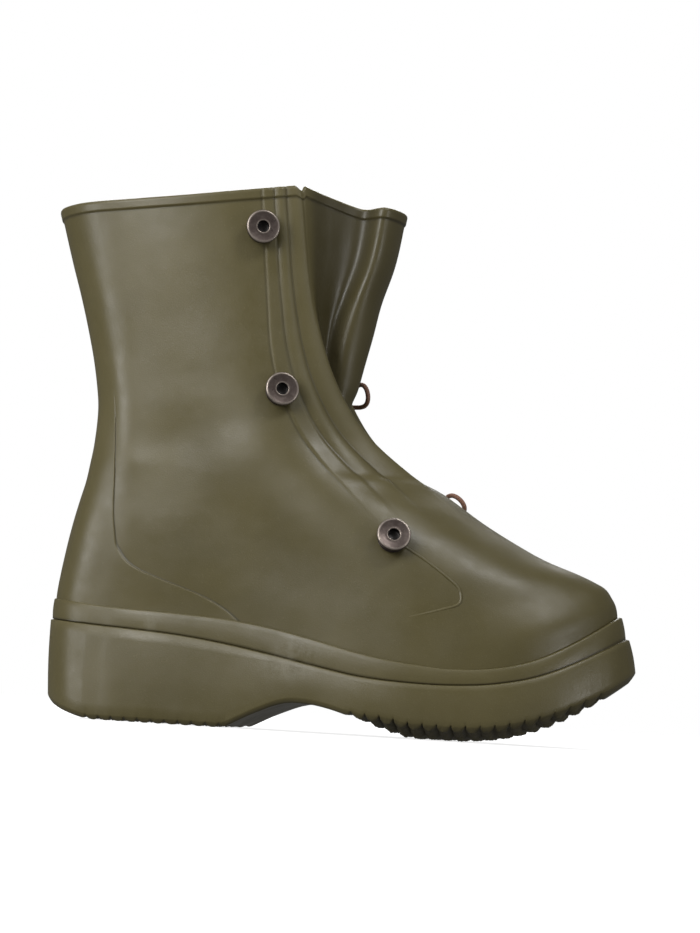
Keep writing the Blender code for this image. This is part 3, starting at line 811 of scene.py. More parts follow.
@dataclass(frozen=True)
class ElasticFinish:
    """Copper brown braided cover over elastic."""

    thread: tuple[float, float, float] = (0.32, 0.165, 0.108)
    between: tuple[float, float, float] = (0.13, 0.06, 0.04)
    fuzz_share: float = 0.45
    roughness: float = 0.72
    sheen: float = 0.25

    def material(self) -> bpy.types.Material:
        """Builds the material.

        Returns:
            The new material.
        """
        graph = Graph("elastic_cord_finish")
        fuzz = graph.noise(scale=2200.0, detail=3.0)
        fuzz = graph.range(fuzz, low=0.3, high=0.7, to_high=self.fuzz_share)
        colour = graph.blend(fuzz, self.thread, self.between)
        # Darker where the braid's weave dips.
        colour = graph.blend(graph.mark(Mark.GROOVE), colour, self.between)
        graph.join(colour, graph.shader.inputs["Base Color"])
        graph.shader.inputs["Roughness"].default_value = self.roughness
        graph.shader.inputs["Sheen Weight"].default_value = self.sheen
        fibres = graph.bump(graph.noise(scale=3200.0, detail=2.0), strength=0.2, distance=0.0002)
        graph.join(fibres, graph.shader.inputs["Normal"])
        return graph.material


@dataclass(frozen=True)
class FloorFinish:
    """Plain pale studio floor that glows as a light table does, and fully so away from the boot."""

    colour: tuple[float, float, float] = (0.42, 0.42, 0.42)
    glow: float = 0.80
    full_glow: float = 1.0
    near: float = 0.20
    far: float = 0.55
    roughness: float = 0.9

    def material(self) -> bpy.types.Material:
        """Builds the material.

        Returns:
            The new material.
        """
        graph = Graph("studio_floor_finish")
        graph.shader.inputs["Base Color"].default_value = (*self.colour, 1.0)
        graph.shader.inputs["Emission Color"].default_value = (1.0, 1.0, 1.0, 1.0)
        away = graph.add("VectorMath", operation="LENGTH")
        graph.join(graph.add("TexCoord").outputs["Object"], away.inputs[0])
        glow = graph.range(away.outputs["Value"], self.near, self.far, self.glow, self.full_glow)
        graph.join(glow, graph.shader.inputs["Emission Strength"])
        graph.shader.inputs["Specular IOR Level"].default_value = 0.0
        graph.shader.inputs["Roughness"].default_value = self.roughness
        return graph.material


# Upper

@dataclass(frozen=True)
class Crease:
    """A soft trough, or a ridge where its depth is less than 0, placed in side view."""

    x: float
    z: float
    length: float
    width: float
    tilt: float
    depth: float
    sides: tuple[Side, ...] = (Side.OUTER, Side.INNER)

    def sink(self, points: np.ndarray) -> np.ndarray:
        """How far the wall sinks at each point.

        Args:
            points: points of the wall.

        Returns:
            A depth for each point.
        """
        tilt = math.radians(self.tilt)
        x, z = points[:, 0] - self.x, points[:, 2] - self.z
        along = x * math.cos(tilt) + z * math.sin(tilt)
        across = z * math.cos(tilt) - x * math.sin(tilt)
        here = np.exp(-((along / self.length) ** 2) - (across / self.width) ** 2)
        signs = [side.value for side in self.sides]
        return self.depth * here * np.isin(np.sign(points[:, 1]), signs)


@dataclass(frozen=True)
class Patch:
    """A cloud of dusty bloom, placed in side view."""

    x: float
    z: float
    half_x: float
    half_z: float
    share: float
    side: Side = Side.OUTER

    def cover(self, points: np.ndarray) -> np.ndarray:
        """How much bloom lies at each point, from 0 to its share."""
        far = ((points[:, 0] - self.x) / self.half_x) ** 2 + ((points[:, 2] - self.z) / self.half_z) ** 2
        return self.share * np.exp(-far) * (np.sign(points[:, 1]) == self.side.value)


CREASES = [
    Crease(64.0, 150.0, 30.0, 16.0, 20.0, 1.1),
    Crease(112.0, 150.0, 40.0, 14.0, 48.0, -0.8),
    Crease(70.0, 205.0, 22.0, 46.0, 8.0, 0.8),
    Crease(150.0, 118.0, 34.0, 12.0, -34.0, 0.7),
    Crease(40.0, 118.0, 20.0, 12.0, 0.0, 0.6),
    Crease(216.0, 88.0, 26.0, 10.0, -22.0, 0.5),
]
BLOOMS = [
    Patch(141.0, 44.0, 11.0, 5.0, 0.55),
    Patch(134.0, 33.0, 13.0, 5.0, 0.60),
    Patch(60.0, 54.0, 5.0, 4.5, 0.50),
    Patch(66.0, 108.0, 24.0, 20.0, 0.07),
    Patch(108.0, 212.0, 24.0, 34.0, 0.06),
    Patch(60.0, 190.0, 22.0, 40.0, 0.08, Side.INNER),
    Patch(210.0, 84.0, 30.0, 12.0, 0.08, Side.INNER),
]


@dataclass
class Upper:
    """The hollow wall from the sole's rim to the collar, with its moulded lines."""

    last: Last
    wall: float = 2.2
    level_step: float = 1.7
    inner_step: int = 3
    groove_back: float = 0.28
    groove_front: float = 0.58
    groove_half: float = 0.035
    rib_skew: float = 0.85
    rib_fullness: float = 0.65
    groove_darkening: float = 0.6
    rib_wear_and_highlight: float = 0.3
    line_half: float = 0.02
    step_half: float = 0.012
    counter_rise: float = 0.7
    counter_wear_and_highlight: float = 0.12
    counter_top: float = 178.0
    counter_fade: float = 26.0
    eyestay_rise: float = 0.5
    eyestay_half: float = 0.022
    eyestay_wear_and_highlight: float = 0.15
    eyestay_shade: float = 0.6
    eyestay_end: float = 0.05
    rib_rise: float = 1.1
    eyestay_foot: float = 114.0
    eyestay_fade: float = 30.0
    cuff_rise: float = 0.7
    cuff_depth: float = 5.5
    cuff_turn: float = 1.2
    hem_drop: float = 0.7
    hem_half: float = 1.1
    hem_shade: float = 0.6
    crease_from: float = 74.0
    crease_fade: float = 14.0
    gusset_shade: float = 0.85
    gusset_from: float = 0.05
    gusset_fade: float = 0.5
    nose_from: float = 7.2
    nose_fade: float = 0.8
    nose_light: float = 0.55
    notch_depth: float = 3.0
    notch_half: float = 0.10
    notch_reach: float = 14.0
    fold_before: float = 0.035
    fold_after: float = 0.10
    lip_height: float = 1.4
    lip_steps: int = 5
    lip_wear_and_highlight: float = 0.35
    line_near: float = 0.045
    line_columns: tuple[float, ...] = (-1.0, -0.6, -0.35, -0.15, 0.0, 0.15, 0.35, 0.6, 1.0)
    column_counts: tuple[int, ...] = (18, 40, 46, 7, 56)
    below_rand: float = 2.0
    cuff_near: float = 2.0
    cuff_below: float = 2.5
    cuff_above: float = 2.4
    cuff_rows: int = 12
    lip_rows: int = 4
    inner_side: tuple[float, float, int] = (0.0, 4.6, 40)
    inner_fold: tuple[float, ...] = (4.8, 5.0)
    inner_front: float = 5.4
    inner_front_columns: int = 14

    def columns(self, level: float) -> np.ndarray:
        """Places round a section that follow the moulded lines.

        Args:
            level: the section's level.

        Returns:
            Places all round, as many at every level.
        """
        counter = self.last.line_at(COUNTER_LINE, level)
        eyestay = self.last.line_at(EYESTAY_LINE, level)
        near, fold = self.line_near, float(self.last.fold)
        cluster = np.array(self.line_columns) * near
        heel, quarter, flap, turn, gusset = self.column_counts
        outer = np.concatenate([
            np.linspace(0, counter - near, heel, endpoint=False), counter + cluster,
            np.linspace(counter + near, eyestay - near, quarter)[1:-1], eyestay + cluster,
            np.linspace(eyestay + near, fold, flap)[1:],
            np.linspace(fold, fold + self.fold_after, turn)[1:],
            np.linspace(fold + self.fold_after, self.last.front, gusset)[1:],
        ])
        return np.concatenate([outer, self.last.around - outer[1:-1][::-1]])

    def relief(self, level: float, places: np.ndarray) -> tuple[np.ndarray, np.ndarray, np.ndarray]:
        """How far the moulded lines raise the wall.

        Args:
            level: the section's level.
            places: places round it.

        Returns:
            The rise; how much each point lies on a ridge, which takes wear and painted highlight; and how
            much painted shade it takes in a groove, at a step, at the hem or in the gusset.
        """
        last = self.last
        side = np.minimum(places, last.around - places)
        counter = side - last.line_at(COUNTER_LINE, level)
        eyestay_at = last.line_at(EYESTAY_LINE, level)
        eyestay = side - eyestay_at
        share = eyestay / (last.fold - eyestay_at)
        over_cuff = level - last.collar_level + self.cuff_depth
        heel = float(ease((self.counter_top - level) / self.counter_fade))
        front = float(ease((level - self.eyestay_foot) / self.eyestay_fade))
        cuff = float(ease(over_cuff / self.cuff_turn + 0.5))
        on_counter = ease(0.5 - counter / (2 * self.step_half))
        on_band = ease(0.5 + eyestay / (2 * self.eyestay_half))
        on_band = on_band * ease((self.groove_back - share) / self.eyestay_end)
        ribs = self.rib(share, self.groove_back, self.groove_front) + self.rib(share, self.groove_front, 1.0)
        rise = heel * self.counter_rise * on_counter + cuff * self.cuff_rise
        rise = rise + front * (self.eyestay_rise * on_band + self.rib_rise * ribs)
        # Ridges take wear and painted highlight: the eyestay band's top edge, the rib crests and the counter
        # step's edge.
        ridge = self.eyestay_wear_and_highlight * hump(eyestay - self.eyestay_half, self.line_half)
        ridge = front * (ridge + self.rib_wear_and_highlight * ribs**4)
        ridge = ridge + self.counter_wear_and_highlight * heel * hump(counter + self.step_half, self.line_half)
        # Painted shade at the foot of the counter step, at the foot of the eyestay band and in the rib
        # grooves.
        groove = heel * hump(counter - self.step_half, self.line_half)
        groove = groove + self.eyestay_shade * front * hump(eyestay + self.eyestay_half, self.line_half)
        for at in (self.groove_back, self.groove_front):
            groove = groove + self.groove_darkening * front * hump(share - at, self.groove_half)
        # Painted shade in the gusset, deepening past the fold, lighter on the nose.
        shade = self.gusset_shade * front * ease((side - last.fold - self.gusset_from) / self.gusset_fade)
        shade = shade * (1 - self.nose_light * ease((side - self.nose_from) / self.nose_fade))
        # Painted shade under the cuff's step, along the hem.
        hem = self.hem_shade * float(hump(np.array(over_cuff + self.hem_drop), self.hem_half))
        return rise, np.clip(ridge, 0, 1), np.clip(groove + shade + hem, 0, 1)

    def rib(self, share: np.ndarray, start: float, end: float) -> np.ndarray:
        """Height from 0 to 1 of a full rounded rib between two shares of the way to the fold."""
        u = np.clip((share - start) / (end - start), 0, 1) ** (1 / self.rib_skew)
        return np.sin(np.pi * u) ** self.rib_fullness

    def notch(self, level: float, places: np.ndarray) -> np.ndarray:
        """How far the collar dips at each fold.

        Args:
            level: the section's level.
            places: places round it.

        Returns:
            A dip for each place.
        """
        side = np.minimum(places, self.last.around - places)
        near_top = float(ease((level - self.last.collar_level) / self.notch_reach + 1.0))
        return near_top * self.notch_depth * hump(side - self.last.fold, self.notch_half)

    def soft_ring(self, level: float, places: np.ndarray) -> np.ndarray:
        """Points of the section, with each fold rounded.

        Args:
            level: the section's level.
            places: places round it.

        Returns:
            One point for each place.
        """
        points = self.last.ring(level, places)
        outer, inner = float(self.last.fold), self.last.around - self.last.fold
        for fold, before, after in ((outer, self.fold_before, self.fold_after),
                                    (inner, self.fold_after, self.fold_before)):
            near = (places > fold - before) & (places < fold + after)
            ends = self.last.ring(level, np.array([fold - before, fold, fold + after]))
            past = places[near] - fold
            t = np.where(past < 0, (past + before) / before / 2, 0.5 + past / after / 2)[:, None]
            points[near] = (1 - t) ** 2 * ends[0] + 2 * t * (1 - t) * ends[1] + t**2 * ends[2]
        return points

    def inside_ring(self, level: float, places: np.ndarray) -> np.ndarray:
        """Points of the wall's inside, which runs straight past the folds and creases.

        Args:
            level: the section's level.
            places: places round it.

        Returns:
            One point for each place.
        """
        front = np.linspace(self.inner_front, self.last.front, self.inner_front_columns)
        knots = np.concatenate([np.linspace(*self.inner_side), self.inner_fold, front])
        knots = np.concatenate([knots, self.last.around - knots[:-1][::-1]])
        coarse = self.last.ring(level, knots) - self.last.outward(level, knots) * self.wall
        return np.column_stack([np.interp(places, knots, coarse[:, k]) for k in range(3)])

    def build(self, finish: bpy.types.Material) -> bpy.types.Object:
        """Builds the wall as one closed mesh, open at the collar and underneath.

        Args:
            finish: the rubber's material.

        Returns:
            The new object.
        """
        last = self.last
        top = last.collar_level - self.lip_height
        cuff = last.collar_level - self.cuff_depth
        levels = np.concatenate([
            [last.seat_level],
            np.arange(last.rand_level - self.below_rand, cuff - self.cuff_below, self.level_step),
            np.linspace(cuff - self.cuff_near, cuff + self.cuff_near, self.cuff_rows),
            np.linspace(cuff + self.cuff_above, top, self.lip_rows),
        ])
        rows, ridges, grooves = [], [], []
        for level in levels:
            places = self.columns(level)
            points, normals = self.soft_ring(level, places), last.outward(level, places)
            rise, ridge, groove = self.relief(level, places)
            creased = ease((level - self.crease_from) / self.crease_fade)
            sink = sum(crease.sink(points) for crease in CREASES) * creased
            row = points + normals * (rise - sink)[:, None]
            row[:, 2] -= self.notch(level, places)
            rows.append(row)
            ridges.append(ridge)
            grooves.append(groove)
        places = self.columns(top)
        tip_out, tip_in = rows[-1], self.inside_ring(top, places)
        tip_in[:, 2] -= self.notch(top, places)
        up = last.ring(last.collar_level, places) - last.ring(top, places)
        for step in range(1, self.lip_steps + 1):
            turn = math.pi * step / (self.lip_steps + 1)
            share = (1 - math.cos(turn)) / 2
            rows.append(tip_out * (1 - share) + tip_in * share + up * math.sin(turn))
            # The rolled lip takes wear and painted highlight.
            ridges.append(np.full(len(places), self.lip_wear_and_highlight * math.sin(turn)))
            grooves.append(np.zeros(len(places)))
        for level in [*levels[::-1][:: self.inner_step], last.seat_level]:
            places = self.columns(level)
            row = self.inside_ring(level, places)
            row[:, 2] -= self.notch(level, places)
            rows.append(row)
            ridges.append(np.zeros(len(places)))
            grooves.append(np.zeros(len(places)))
        points = np.vstack(rows)
        count = len(places)
        faces = []
        for k in range(len(rows)):
            faces += strip_faces(k * count, (k + 1) % len(rows) * count, count)
        made = add_piece("rubber_upper", points - ORIGIN, faces, finish, smooth_angle=60.0)
        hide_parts("upper")
        keep_marks(made, {
            Mark.RIDGE: np.concatenate(ridges),
            Mark.GROOVE: np.concatenate(grooves),
            Mark.BLOOM: sum(patch.cover(points) for patch in BLOOMS),
            Mark.TREAD: np.zeros(len(points)),
        })
        return made


# Sole

@dataclass(frozen=True)
class SideLine:
    """How far a line round the sole stands out, with what is added at the toe and at the heel."""

    out: float
    toe_out: float
    heel_out: float


@dataclass(frozen=True)
class Tread:
    """A run of ribs across the sole."""

    start: float
    end: float
    depth: float


@dataclass
class Sole:
    """The cup sole: ribbed tread, side with its two steps, rim, ledge and floor."""

    last: Last
    wall: float = 2.2
    bottom_edge: SideLine = SideLine(2.6, 5.0, -3.8)
    corner: SideLine = SideLine(4.6, 6.4, -3.2)
    wall_top: SideLine = SideLine(4.0, 3.0, -1.2)
    band_foot: SideLine = SideLine(2.5, 2.4, -0.6)
    band_top: SideLine = SideLine(2.0, 0.6, -0.3)
    treads: tuple[Tread, ...] = (Tread(27.0, 102.0, 2.3), Tread(172.0, 299.0, 3.4))
    rib_pitch: float = 7.4
    corner_height: float = 3.0
    step_height: float = 0.9
    rim_round: float = 0.6
    floor_inset: float = 6.5
    floor_round: float = 3.0
    toe_from: float = 200.0
    toe_full: float = 300.0
    heel_from: float = 60.0
    heel_full: float = 10.0
    across: int = 110
    grain: float = 0.8
    grain_scale: float = 0.48
    grain_contrast: float = 1.6
    edge_grain: float = 0.6
    wall_rows: int = 9
    corner_shares: tuple[float, ...] = (0.0, 0.35, 0.7, 1.0)
    step_turns: tuple[tuple[float, float], ...] = ((-0.25, 0.32), (-1.15, 0.5), (-1.9, 0.62))
    band_shares: tuple[float, ...] = (0.0, 0.06, 0.12, 0.2, 0.4, 0.6, 0.8, 1.0)
    rim_turns: tuple[tuple[float, float], ...] = ((0.18, 0.35), (0.55, 0.55), (1.05, 0.6))
    step_shade: tuple[float, ...] = (0.9, 1.0, 1.0, 0.45)
    corner_bulge: float = 0.45
    wall_bulge: float = 0.5
    band_bulge: float = 0.3
    groove_columns: tuple[float, ...] = (-0.38, -0.27, -0.17, -0.08, 0.0, 0.08, 0.17, 0.27, 0.38, 0.5)
    column_gap: float = 4.0
    fine_places: int = 6001
    heel_reach: float = 0.5
    toe_reach: float = 1.0
    end_step: float = 0.04
    least_step: float = 0.003
    raised_foot: float = 0.75
    least_corner: float = 0.25
    band_lift: float = 0.1
    tread_before: float = 4.0
    tread_after: float = 2.0
    least_slope: float = 0.02
    groove_darkening: float = 0.3
    pit_darkening: float = 0.75
    darkening_offset: float = 0.1
    groove_unlightened: float = 0.5
    pit_unlightened: float = 2.4
    line_wear_and_highlight: float = 0.25
    crest_cut: float = 0.3
    crest_wear_and_highlight: float = 0.45
    plain_wear_and_highlight: float = 0.35
    edge_tread: tuple[float, ...] = (0.6, 0.6)
    edge_darkening: tuple[float, ...] = (0.9, 0.6, 0.25)

    def grooves(self) -> np.ndarray:
        """Middles and depths of all grooves along the sole.

        Returns:
            A place and a depth for each groove.
        """
        found = [(x, tread.depth) for tread in self.treads
                 for x in np.arange(tread.start, tread.end, self.rib_pitch)]
        return np.array(found)

    def groove_depth(self, x: np.ndarray) -> np.ndarray:
        """How deep the tread is cut.

        Args:
            x: places along the boot.

        Returns:
            A depth for each place.
        """
        x = np.asarray(x, float)
        deep = np.zeros_like(x)
        for middle, depth in self.grooves():
            from_crest = np.clip(1 - np.abs(x - middle) / (self.rib_pitch / 2), 0, 1)
            deep = np.maximum(deep, depth * (1 - np.sqrt(1 - from_crest**2)))
        return deep

    def outline(self, foot: np.ndarray, normals: np.ndarray, line: SideLine) -> np.ndarray:
        """One line round the sole in plan.

        Args:
            foot: the upper's foot line.
            normals: its outward directions in plan.
            line: how far the line stands out.

        Returns:
            One point for each point of the foot line, still at its height.
        """
        toe = ease((foot[:, 0] - self.toe_from) / (self.toe_full - self.toe_from))
        toe = toe * np.clip(normals[:, 0], 0, 1)
        heel = ease((foot[:, 0] - self.heel_from) / (self.heel_full - self.heel_from))
        heel = heel * np.clip(-normals[:, 0], 0, 1)
        return foot + normals * (line.out + line.toe_out * toe + line.heel_out * heel)[:, None]

    def columns(self) -> np.ndarray:
        """Places round the rim, close together wherever a groove turns.

        Returns:
            Places all round.
        """
        front, around = self.last.front, self.last.around
        fine = np.linspace(0, front, self.fine_places)
        foot = self.last.ring(self.last.rand_level, np.concatenate([fine, around - fine[1:-1][::-1]]))
        edge = self.outline(foot, plan_normals(foot), self.bottom_edge)[: len(fine), 0]
        rising = np.maximum.accumulate(edge)
        offsets = np.array(self.groove_columns) * self.rib_pitch
        gap, margin = self.column_gap, self.column_gap / 2
        wanted = [x + offset for x, _ in self.grooves() for offset in offsets]
        wanted += list(np.arange(rising[0] + gap, rising[-1] - gap, gap))
        wanted = np.array(sorted(x for x in wanted if rising[0] + margin < x < rising[-1] - margin))
        places = np.interp(wanted, rising, fine)
        heel_end = np.arange(0.0, self.heel_reach, self.end_step)
        toe_end = np.arange(front - self.toe_reach, front, self.end_step)
        places = np.unique(np.round(np.concatenate([places, heel_end, toe_end, [0.0, front]]), 5))
        keep = np.concatenate([[True], np.diff(places) > self.least_step])
        outer = places[keep]
        outer[-1] = front
        return np.concatenate([outer, around - outer[1:-1][::-1]])

    def side_rows(self, foot: np.ndarray, normals: np.ndarray) -> list[np.ndarray]:
        """Rows of the sole's outside, from the tread's edge up to the rim.

        Args:
            foot: the upper's foot line.
            normals: its outward directions in plan.

        Returns:
            Rows of points.
        """
        edge, corner, wall_top, band_foot, band_top = [
            self.outline(foot, normals, line)
            for line in (self.bottom_edge, self.corner, self.wall_top, self.band_foot, self.band_top)]
        lower, upper = self.last.rim(foot[:, 0])[1], foot[:, 2]
        cut = self.groove_depth(edge[:, 0])
        full = np.maximum(self.corner_height, cut + self.least_corner)
        rows = []
        for share in self.corner_shares:
            high = cut + (full - cut) * share
            out = np.clip(high / self.corner_height, 0, 1)[:, None]
            bulge = self.corner_bulge * np.sin(np.pi * out) * (share > 0)
            row = edge * (1 - out) + corner * out + normals * bulge
            row[:, 2] = self.last.underside(row[:, 0], row[:, 1]) + high
            pitted = self.on_tread(edge[:, 0]) * self.pits(row) * (1 - share) * self.edge_grain
            rows.append(row - normals * pitted[:, None])
        start = rows[-1][:, 2]
        for share in np.linspace(0, 1, self.wall_rows)[1:]:
            bulge = self.wall_bulge * math.sin(math.pi * share)
            row = corner * (1 - share) + wall_top * share + normals * bulge
            row[:, 2] = start + (lower - self.step_height - start) * share
            rows.append(row)
        for out, rise in self.step_turns:
            row = wall_top + normals * out
            row[:, 2] = lower - self.step_height + rise
            rows.append(row)
        for share in self.band_shares:
            bulge = self.band_bulge * math.sin(math.pi * share)
            row = band_foot * (1 - share) + band_top * share + normals * bulge
            row[:, 2] = lower + self.band_lift + (upper - self.rim_round - lower - self.band_lift) * share
            rows.append(row)
        for inward, rise in self.rim_turns:
            row = band_top - normals * inward
            row[:, 2] = upper - self.rim_round + rise
            rows.append(row)
        return rows

    def inside_rows(self, places: np.ndarray, foot: np.ndarray) -> list[np.ndarray]:
        """Rows of the ledge that holds the upper, and of the floor's edge.

        Args:
            places: places round the rim.
            foot: the upper's foot line.

        Returns:
            Rows of points.
        """
        level, rand = self.last.seat_level, self.last.rand_level
        seat = self.last.ring(level, places)
        seat_out, foot_out = self.last.outward(level, places), self.last.outward(rand, places)
        rabbet_out = GAP + self.raised_foot
        ledge = seat - np.array([0.0, 0.0, GAP])
        round_line = seat - plan_normals(seat) * (self.floor_inset - self.floor_round)
        round_line[:, 2] = self.last.profile(round_line[:, 0])[1] + self.floor_round
        floor_line = seat - plan_normals(seat) * self.floor_inset
        floor_line[:, 2] = self.last.profile(floor_line[:, 0])[1]
        ledge_out, ledge_in = ledge + seat_out * rabbet_out, ledge - seat_out * self.wall
        return [foot + foot_out * rabbet_out, ledge_out, ledge_in, round_line, floor_line]

    def pits(self, points: np.ndarray) -> np.ndarray:
        """How far each point lies between the pebbles of the tread's crepe grain.

        Args:
            points: points of the tread.

        Returns:
            A value from 0 to 1 for each point.
        """
        found = []
        for place in points * self.grain_scale:
            near, next_near = noise.voronoi(Vector(place))[0][:2]
            found.append(1.0 - min((next_near - near) * self.grain_contrast, 1.0))
        return np.array(found)

    def on_tread(self, x: np.ndarray) -> np.ndarray:
        """1 where the sole has ribs, and 0 elsewhere."""
        runs = [(tread.start - self.tread_before, tread.end + self.tread_after) for tread in self.treads]
        return np.any([(x > start) & (x < end) for start, end in runs], axis=0).astype(float)

    def underside_rungs(self, points: list[np.ndarray], faces: list,
                        count: int) -> tuple[np.ndarray, np.ndarray, np.ndarray]:
        """Closes the tread with rungs across the sole, which carry its grooves and its grain.

        Args:
            points: all points so far, whose first ring is the tread's edge.
            faces: all faces so far.
            count: points in a ring.

        Returns:
            How much each new point is tread, how much darker it is in a groove or a pit, and how much
            lighter its crest is by wear and painted highlight.
        """
        half = count // 2
        shares = np.linspace(0, 1, self.across + 2)[1:-1, None]
        rows, treads, deeps, worn_and_highlight = [[0]], [], [], []
        for j in range(1, half):
            base = points[j] * (1 - shares) + points[count - j] * shares
            x = base[:, 0]
            base[:, 2] = self.last.underside(x, base[:, 1])
            slope = np.arctan2(self.last.profile(x + 1.0)[0] - self.last.profile(x - 1.0)[0], 2.0)
            deep, tread, pits = self.groove_depth(x), self.on_tread(x), self.pits(base)
            lift = deep + tread * pits * self.grain
            base[:, 0] -= lift * np.sin(slope) * (slope > self.least_slope)
            base[:, 2] += lift * np.cos(slope)
            rows.append([j, *range(len(points), len(points) + self.across), count - j])
            points.extend(base)
            treads.append(tread)
            # Darker in the tread's grooves and pits; crests lighter by wear and painted highlight.
            recess_dark = self.groove_darkening * deep + self.pit_darkening * pits - self.darkening_offset
            deeps.append(tread * np.clip(recess_dark, 0, 1))
            on_crest = np.clip(1 - self.groove_unlightened * deep, 0, 1)
            worn_and_highlight.append(tread * on_crest * np.clip(1 - self.pit_unlightened * pits, 0, 1))
        rows.append([half])
        for here, ahead in zip(rows, rows[1:]):
            for k in range(self.across + 1):
                loop = [here[min(k, len(here) - 1)], here[min(k + 1, len(here) - 1)],
                        ahead[min(k + 1, len(ahead) - 1)], ahead[min(k, len(ahead) - 1)]]
                faces.append(tuple(dict.fromkeys(loop)))
        return np.concatenate(treads), np.concatenate(deeps), np.concatenate(worn_and_highlight)

    def row_marks(self, edge_x: np.ndarray, outside: int,
                  total: int) -> tuple[np.ndarray, np.ndarray, np.ndarray]:
        """How light the rows round the sole are by wear and painted highlight, how dark by painted shade and
        in the tread's grooves, and which of them are tread.

        Args:
            edge_x: places of the tread's edge along the boot.
            outside: how many rows the outside has.
            total: how many rows there are in all.

        Returns:
            The wear, the dirt and the tread, with one line of values for each row.
        """
        ridges, grooves, treads = np.zeros((3, total, len(edge_x)))
        step = len(self.corner_shares) + self.wall_rows - 1
        rim = step + len(self.step_turns) + len(self.band_shares)
        # Wear and painted highlight on the wall's top edge and on the rim's edge.
        ridges[[step - 1, rim]] = self.line_wear_and_highlight
        # Painted shade at the step under the band.
        grooves[step + 1: step + 1 + len(self.step_shade)] = np.array(self.step_shade)[:, None]
        # Painted shade in the rabbet between the rim and the upper.
        grooves[outside: outside + 2] = 1.0
        treads[: len(self.edge_tread)] = np.array(self.edge_tread)[:, None]
        cut = self.groove_depth(edge_x)
        # Wear and painted highlight on the crests at the tread's edge and along the plain corner.
        ridges[:2] = np.where(cut < self.crest_cut, self.crest_wear_and_highlight, 0.0)
        ridges[len(self.corner_shares) - 1] = self.plain_wear_and_highlight * (1 - self.on_tread(edge_x))
        deepest = max(tread.depth for tread in self.treads)
        # Darker where the tread's grooves reach the edge.
        grooves[: len(self.edge_darkening)] = np.clip(cut / deepest, 0, 1) * np.array(self.edge_darkening)[:, None]
        return ridges, grooves, treads

    def build(self, finish: bpy.types.Material) -> bpy.types.Object:
        """Builds the sole as one closed mesh.

        Args:
            finish: the rubber's material.

        Returns:
            The new object.
        """
        places = self.columns()
        foot = self.last.ring(self.last.rand_level, places)
        normals = plan_normals(foot)
        sides = self.side_rows(foot, normals)
        rows = sides + self.inside_rows(places, foot)
        count = len(places)
        points = [point for row in rows for point in row]
        ridges, grooves, marks = self.row_marks(rows[0][:, 0], len(sides), len(rows))
        faces = []
        for k in range(len(rows) - 1):
            faces += strip_faces(k * count, (k + 1) * count, count)
        treads, deeps, worn_and_highlight = self.underside_rungs(points, faces, count)
        last_ring = (len(rows) - 1) * count
        for j in range(count // 2):
            loop = [last_ring + j, last_ring + j + 1, last_ring + (count - j - 1) % count,
                    last_ring + (count - j) % count]
            faces.append(tuple(dict.fromkeys(loop)))
        points = np.array(points)
        made = add_piece("cup_sole", points - ORIGIN, faces, finish, smooth_angle=55.0)
        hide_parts("sole")
        keep_marks(made, {
            Mark.RIDGE: np.concatenate([ridges.ravel(), worn_and_highlight]),
            Mark.GROOVE: np.concatenate([grooves.ravel(), deeps]),
            Mark.BLOOM: sum(patch.cover(points) for patch in BLOOMS),
            Mark.TREAD: np.concatenate([marks.ravel(), treads]),
        })
        return made


# Moulded bead of the quarter

@dataclass(frozen=True)
class BeadPoint:
    """A point of the bead: its level and its place there, and how high the bead stands."""

    level: float
    at: float
    height: float


QUARTER_BEAD = [
    BeadPoint(111.0, 4.150, 0.45), BeadPoint(109.1, 4.191, 0.60), BeadPoint(105.6, 4.258, 0.70),
    BeadPoint(100.8, 4.328, 0.75), BeadPoint(97.6, 4.368, 0.75), BeadPoint(94.7, 4.362, 0.70),
    BeadPoint(91.8, 4.312, 0.55), BeadPoint(89.7, 4.182, 0.35), BeadPoint(86.1, 3.964, 0.16),
    BeadPoint(83.0, 3.850, 0.0),
]


@dataclass
class Bead:
    """A fine raised line on the wall, which fades out at its ends."""

    last: Last
    half_width: float = 0.9
    steps: int = 90
    across: int = 7
    sink: float = 0.12
    root: float = 0.4
    lightening: float = 0.5

    def build(self, side: Side, finish: bpy.types.Material) -> bpy.types.Object:
        """Lays the bead on one side of the boot.

        Args:
            side: which side.
            finish: the rubber's material.

        Returns:
            The new object.
        """
        found = [(p.level, p.at, p.height) for p in QUARTER_BEAD]
        knots = np.arange(len(found), dtype=float)
        track = smooth(knots, found, np.linspace(0, knots[-1], self.steps))
        middles, normals = [], []
        for level, place, _ in track:
            at = [place if side is Side.OUTER else self.last.around - place]
            middles.append(self.last.ring(level, at)[0])
            normals.append(self.last.outward(level, at)[0])
        middles, normals = np.array(middles), np.array(normals)
        for crease in CREASES:
            middles = middles - normals * crease.sink(middles)[:, None]
        along = np.gradient(middles, axis=0)
        beside = np.cross(normals, along / np.linalg.norm(along, axis=1)[:, None])
        points, faces, crest = [], [], []
        for offset in np.linspace(-1, 1, self.across):
            arch = math.cos(offset * math.pi / 2)
            rise = track[:, 2] * arch - self.sink
            points.append(middles + beside * offset * self.half_width + normals * rise[:, None])
            # The crest takes wear and painted highlight.
            crest.append(np.full(self.steps, self.lightening * arch**2))
        points = np.vstack(points + [middles - normals * (self.sink + self.root)])
        crest.append(np.zeros(self.steps))
        for k in range(self.across + 1):
            first, second = k * self.steps, (k + 1) % (self.across + 1) * self.steps
            for i in range(self.steps - 1):
                faces.append((first + i, first + i + 1, second + i + 1, second + i))
        ring = [k * self.steps for k in range(self.across + 1)]
        faces.append(tuple(ring))
        faces.append(tuple(start + self.steps - 1 for start in reversed(ring)))
        name = f"quarter_bead_{side.name.lower()}"
        made = add_piece(name, points - ORIGIN, faces, finish, smooth_angle=60.0)
        bare = {mark: np.zeros(len(points)) for mark in Mark}
        keep_marks(made, bare | {Mark.RIDGE: np.concatenate(crest)})
        return made


# Studs, crimps and loops

